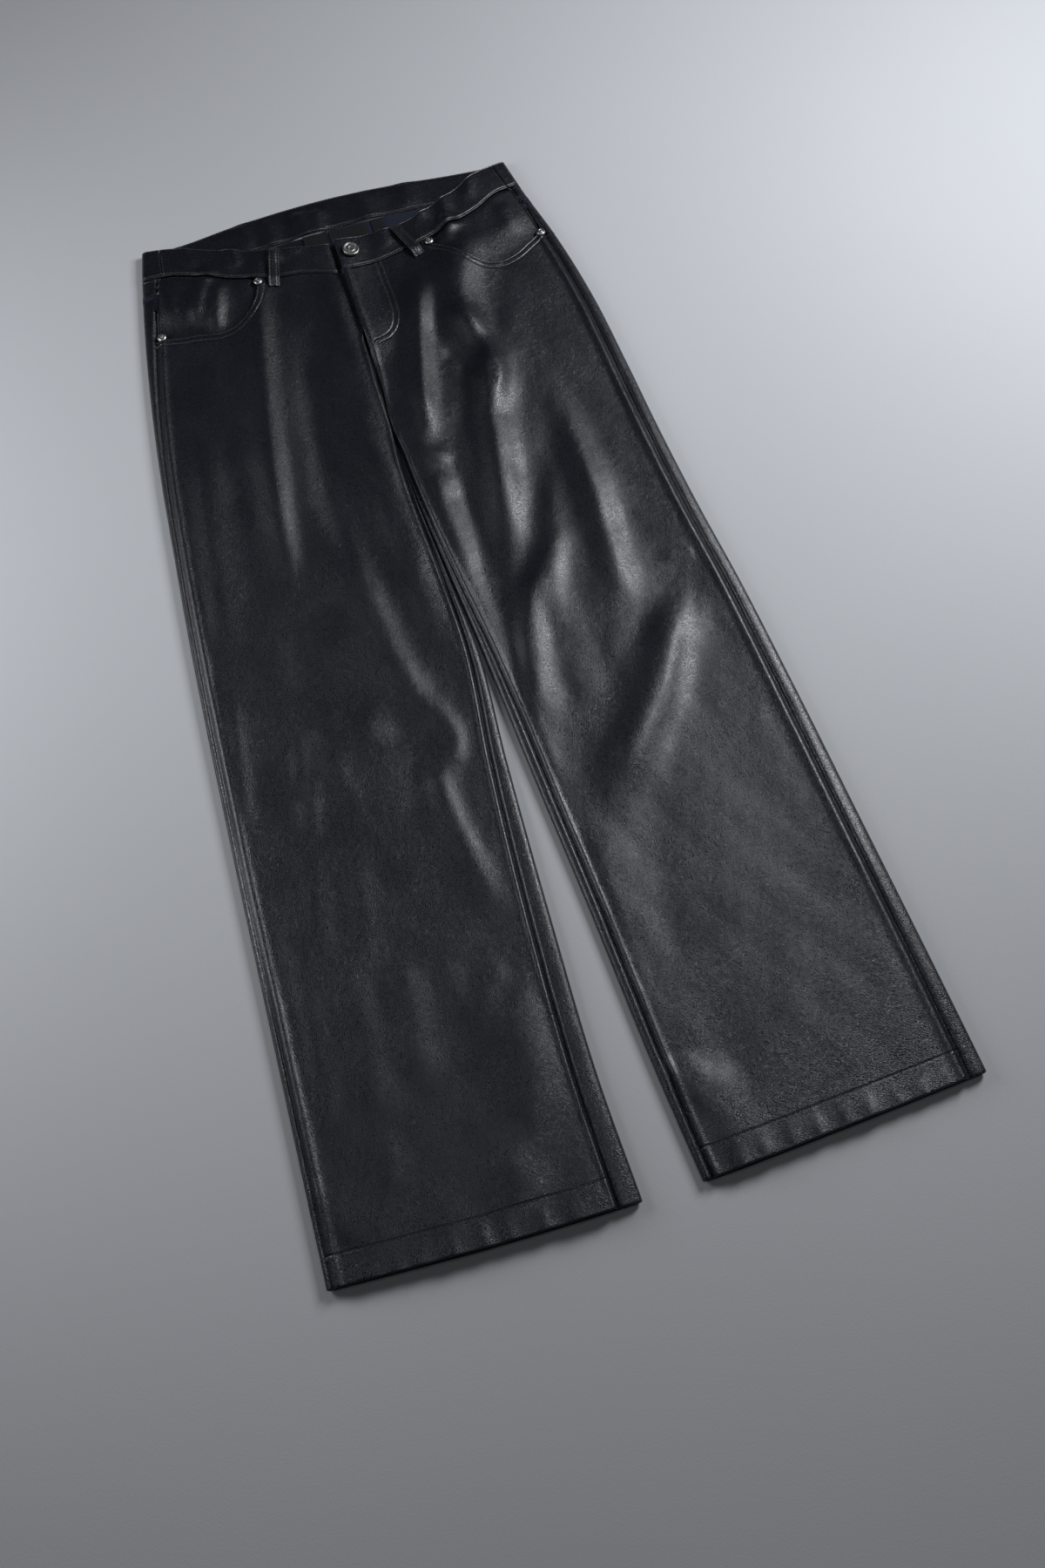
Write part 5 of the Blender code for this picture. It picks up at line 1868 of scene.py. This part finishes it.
class TROUSERS_OT_fronts(bpy.types.Operator):
    """Make both front panels"""

    bl_idname = "trousers.fronts"
    bl_label = "Fronts"

    def execute(self, context):
        build_fronts(context.scene.trousers_leather)
        return {"FINISHED"}


class TROUSERS_OT_backs(bpy.types.Operator):
    """Make both back panels and the yokes"""

    bl_idname = "trousers.backs"
    bl_label = "Backs and yokes"

    def execute(self, context):
        build_backs(context.scene.trousers_leather)
        return {"FINISHED"}


class TROUSERS_OT_pockets(bpy.types.Operator):
    """Make the pocket facings"""

    bl_idname = "trousers.pockets"
    bl_label = "Pocket facings"

    def execute(self, context):
        build_facings(context.scene.trousers_leather)
        return {"FINISHED"}


class TROUSERS_OT_waistband(bpy.types.Operator):
    """Make the waistband's three pieces"""

    bl_idname = "trousers.waistband"
    bl_label = "Waistband"

    def execute(self, context):
        build_waistband()
        return {"FINISHED"}


class TROUSERS_OT_loops(bpy.types.Operator):
    """Make the belt loops"""

    bl_idname = "trousers.loops"
    bl_label = "Belt loops"

    def execute(self, context):
        build_loops()
        return {"FINISHED"}


class TROUSERS_OT_metalwork(bpy.types.Operator):
    """Make the button and the rivets"""

    bl_idname = "trousers.metalwork"
    bl_label = "Button and rivets"

    def execute(self, context):
        build_metalwork(context.scene.trousers_metal)
        return {"FINISHED"}


class TROUSERS_OT_labels(bpy.types.Operator):
    """Make the label and the size tag"""

    bl_idname = "trousers.labels"
    bl_label = "Labels"

    def execute(self, context):
        build_labels()
        return {"FINISHED"}


class TROUSERS_OT_sewing(bpy.types.Operator):
    """Sew the topstitching"""

    bl_idname = "trousers.sewing"
    bl_label = "Stitching"

    def execute(self, context):
        build_sewing(context.scene.trousers_sewing)
        return {"FINISHED"}


class TROUSERS_OT_zip(bpy.types.Operator):
    """Give the zip under the fly its finish"""

    bl_idname = "trousers.zip"
    bl_label = "Zip"

    def execute(self, context):
        finish_zip()
        return {"FINISHED"}


class TROUSERS_OT_stage(bpy.types.Operator):
    """Set up the floor, the lights and the camera"""

    bl_idname = "trousers.stage"
    bl_label = "Stage"

    def execute(self, context):
        build_stage(context.scene.trousers_stage)
        return {"FINISHED"}


OPERATORS = (
    TROUSERS_OT_fronts,
    TROUSERS_OT_backs,
    TROUSERS_OT_pockets,
    TROUSERS_OT_waistband,
    TROUSERS_OT_loops,
    TROUSERS_OT_metalwork,
    TROUSERS_OT_labels,
    TROUSERS_OT_sewing,
    TROUSERS_OT_zip,
    TROUSERS_OT_stage,
)
SETTINGS = {
    "trousers_leather": LeatherSettings,
    "trousers_sewing": SewingSettings,
    "trousers_metal": MetalSettings,
    "trousers_stage": StageSettings,
}


class TROUSERS_PT_panel(bpy.types.Panel):
    """Settings and steps of the trousers"""

    bl_idname = "TROUSERS_PT_panel"
    bl_label = "Leather trousers"
    bl_space_type = "VIEW_3D"
    bl_region_type = "UI"
    bl_category = "Trousers"

    def draw(self, context):
        for name in SETTINGS:
            box = self.layout.box()
            settings = getattr(context.scene, name)
            for key in settings.__annotations__:
                box.prop(settings, key)
        for operator in OPERATORS:
            self.layout.operator(operator.bl_idname)


CLASSES = (*SETTINGS.values(), *OPERATORS, TROUSERS_PT_panel)


def register():
    """Register the classes, and put the settings on the scene."""
    for kind in CLASSES:
        bpy.utils.register_class(kind)
    for name, kind in SETTINGS.items():
        setattr(bpy.types.Scene, name, PointerProperty(type=kind))


def unregister():
    """Undo what register does, in reverse."""
    for name in SETTINGS:
        delattr(bpy.types.Scene, name)
    for kind in reversed(CLASSES):
        bpy.utils.unregister_class(kind)


def main():
    """Build every group of pieces and the stage."""
    register()
    bpy.ops.trousers.fronts()
    bpy.ops.trousers.backs()
    bpy.ops.trousers.pockets()
    bpy.ops.trousers.waistband()
    bpy.ops.trousers.loops()
    bpy.ops.trousers.metalwork()
    bpy.ops.trousers.labels()
    bpy.ops.trousers.sewing()
    bpy.ops.trousers.zip()
    bpy.ops.trousers.stage()


if __name__ == "__main__":
    main()
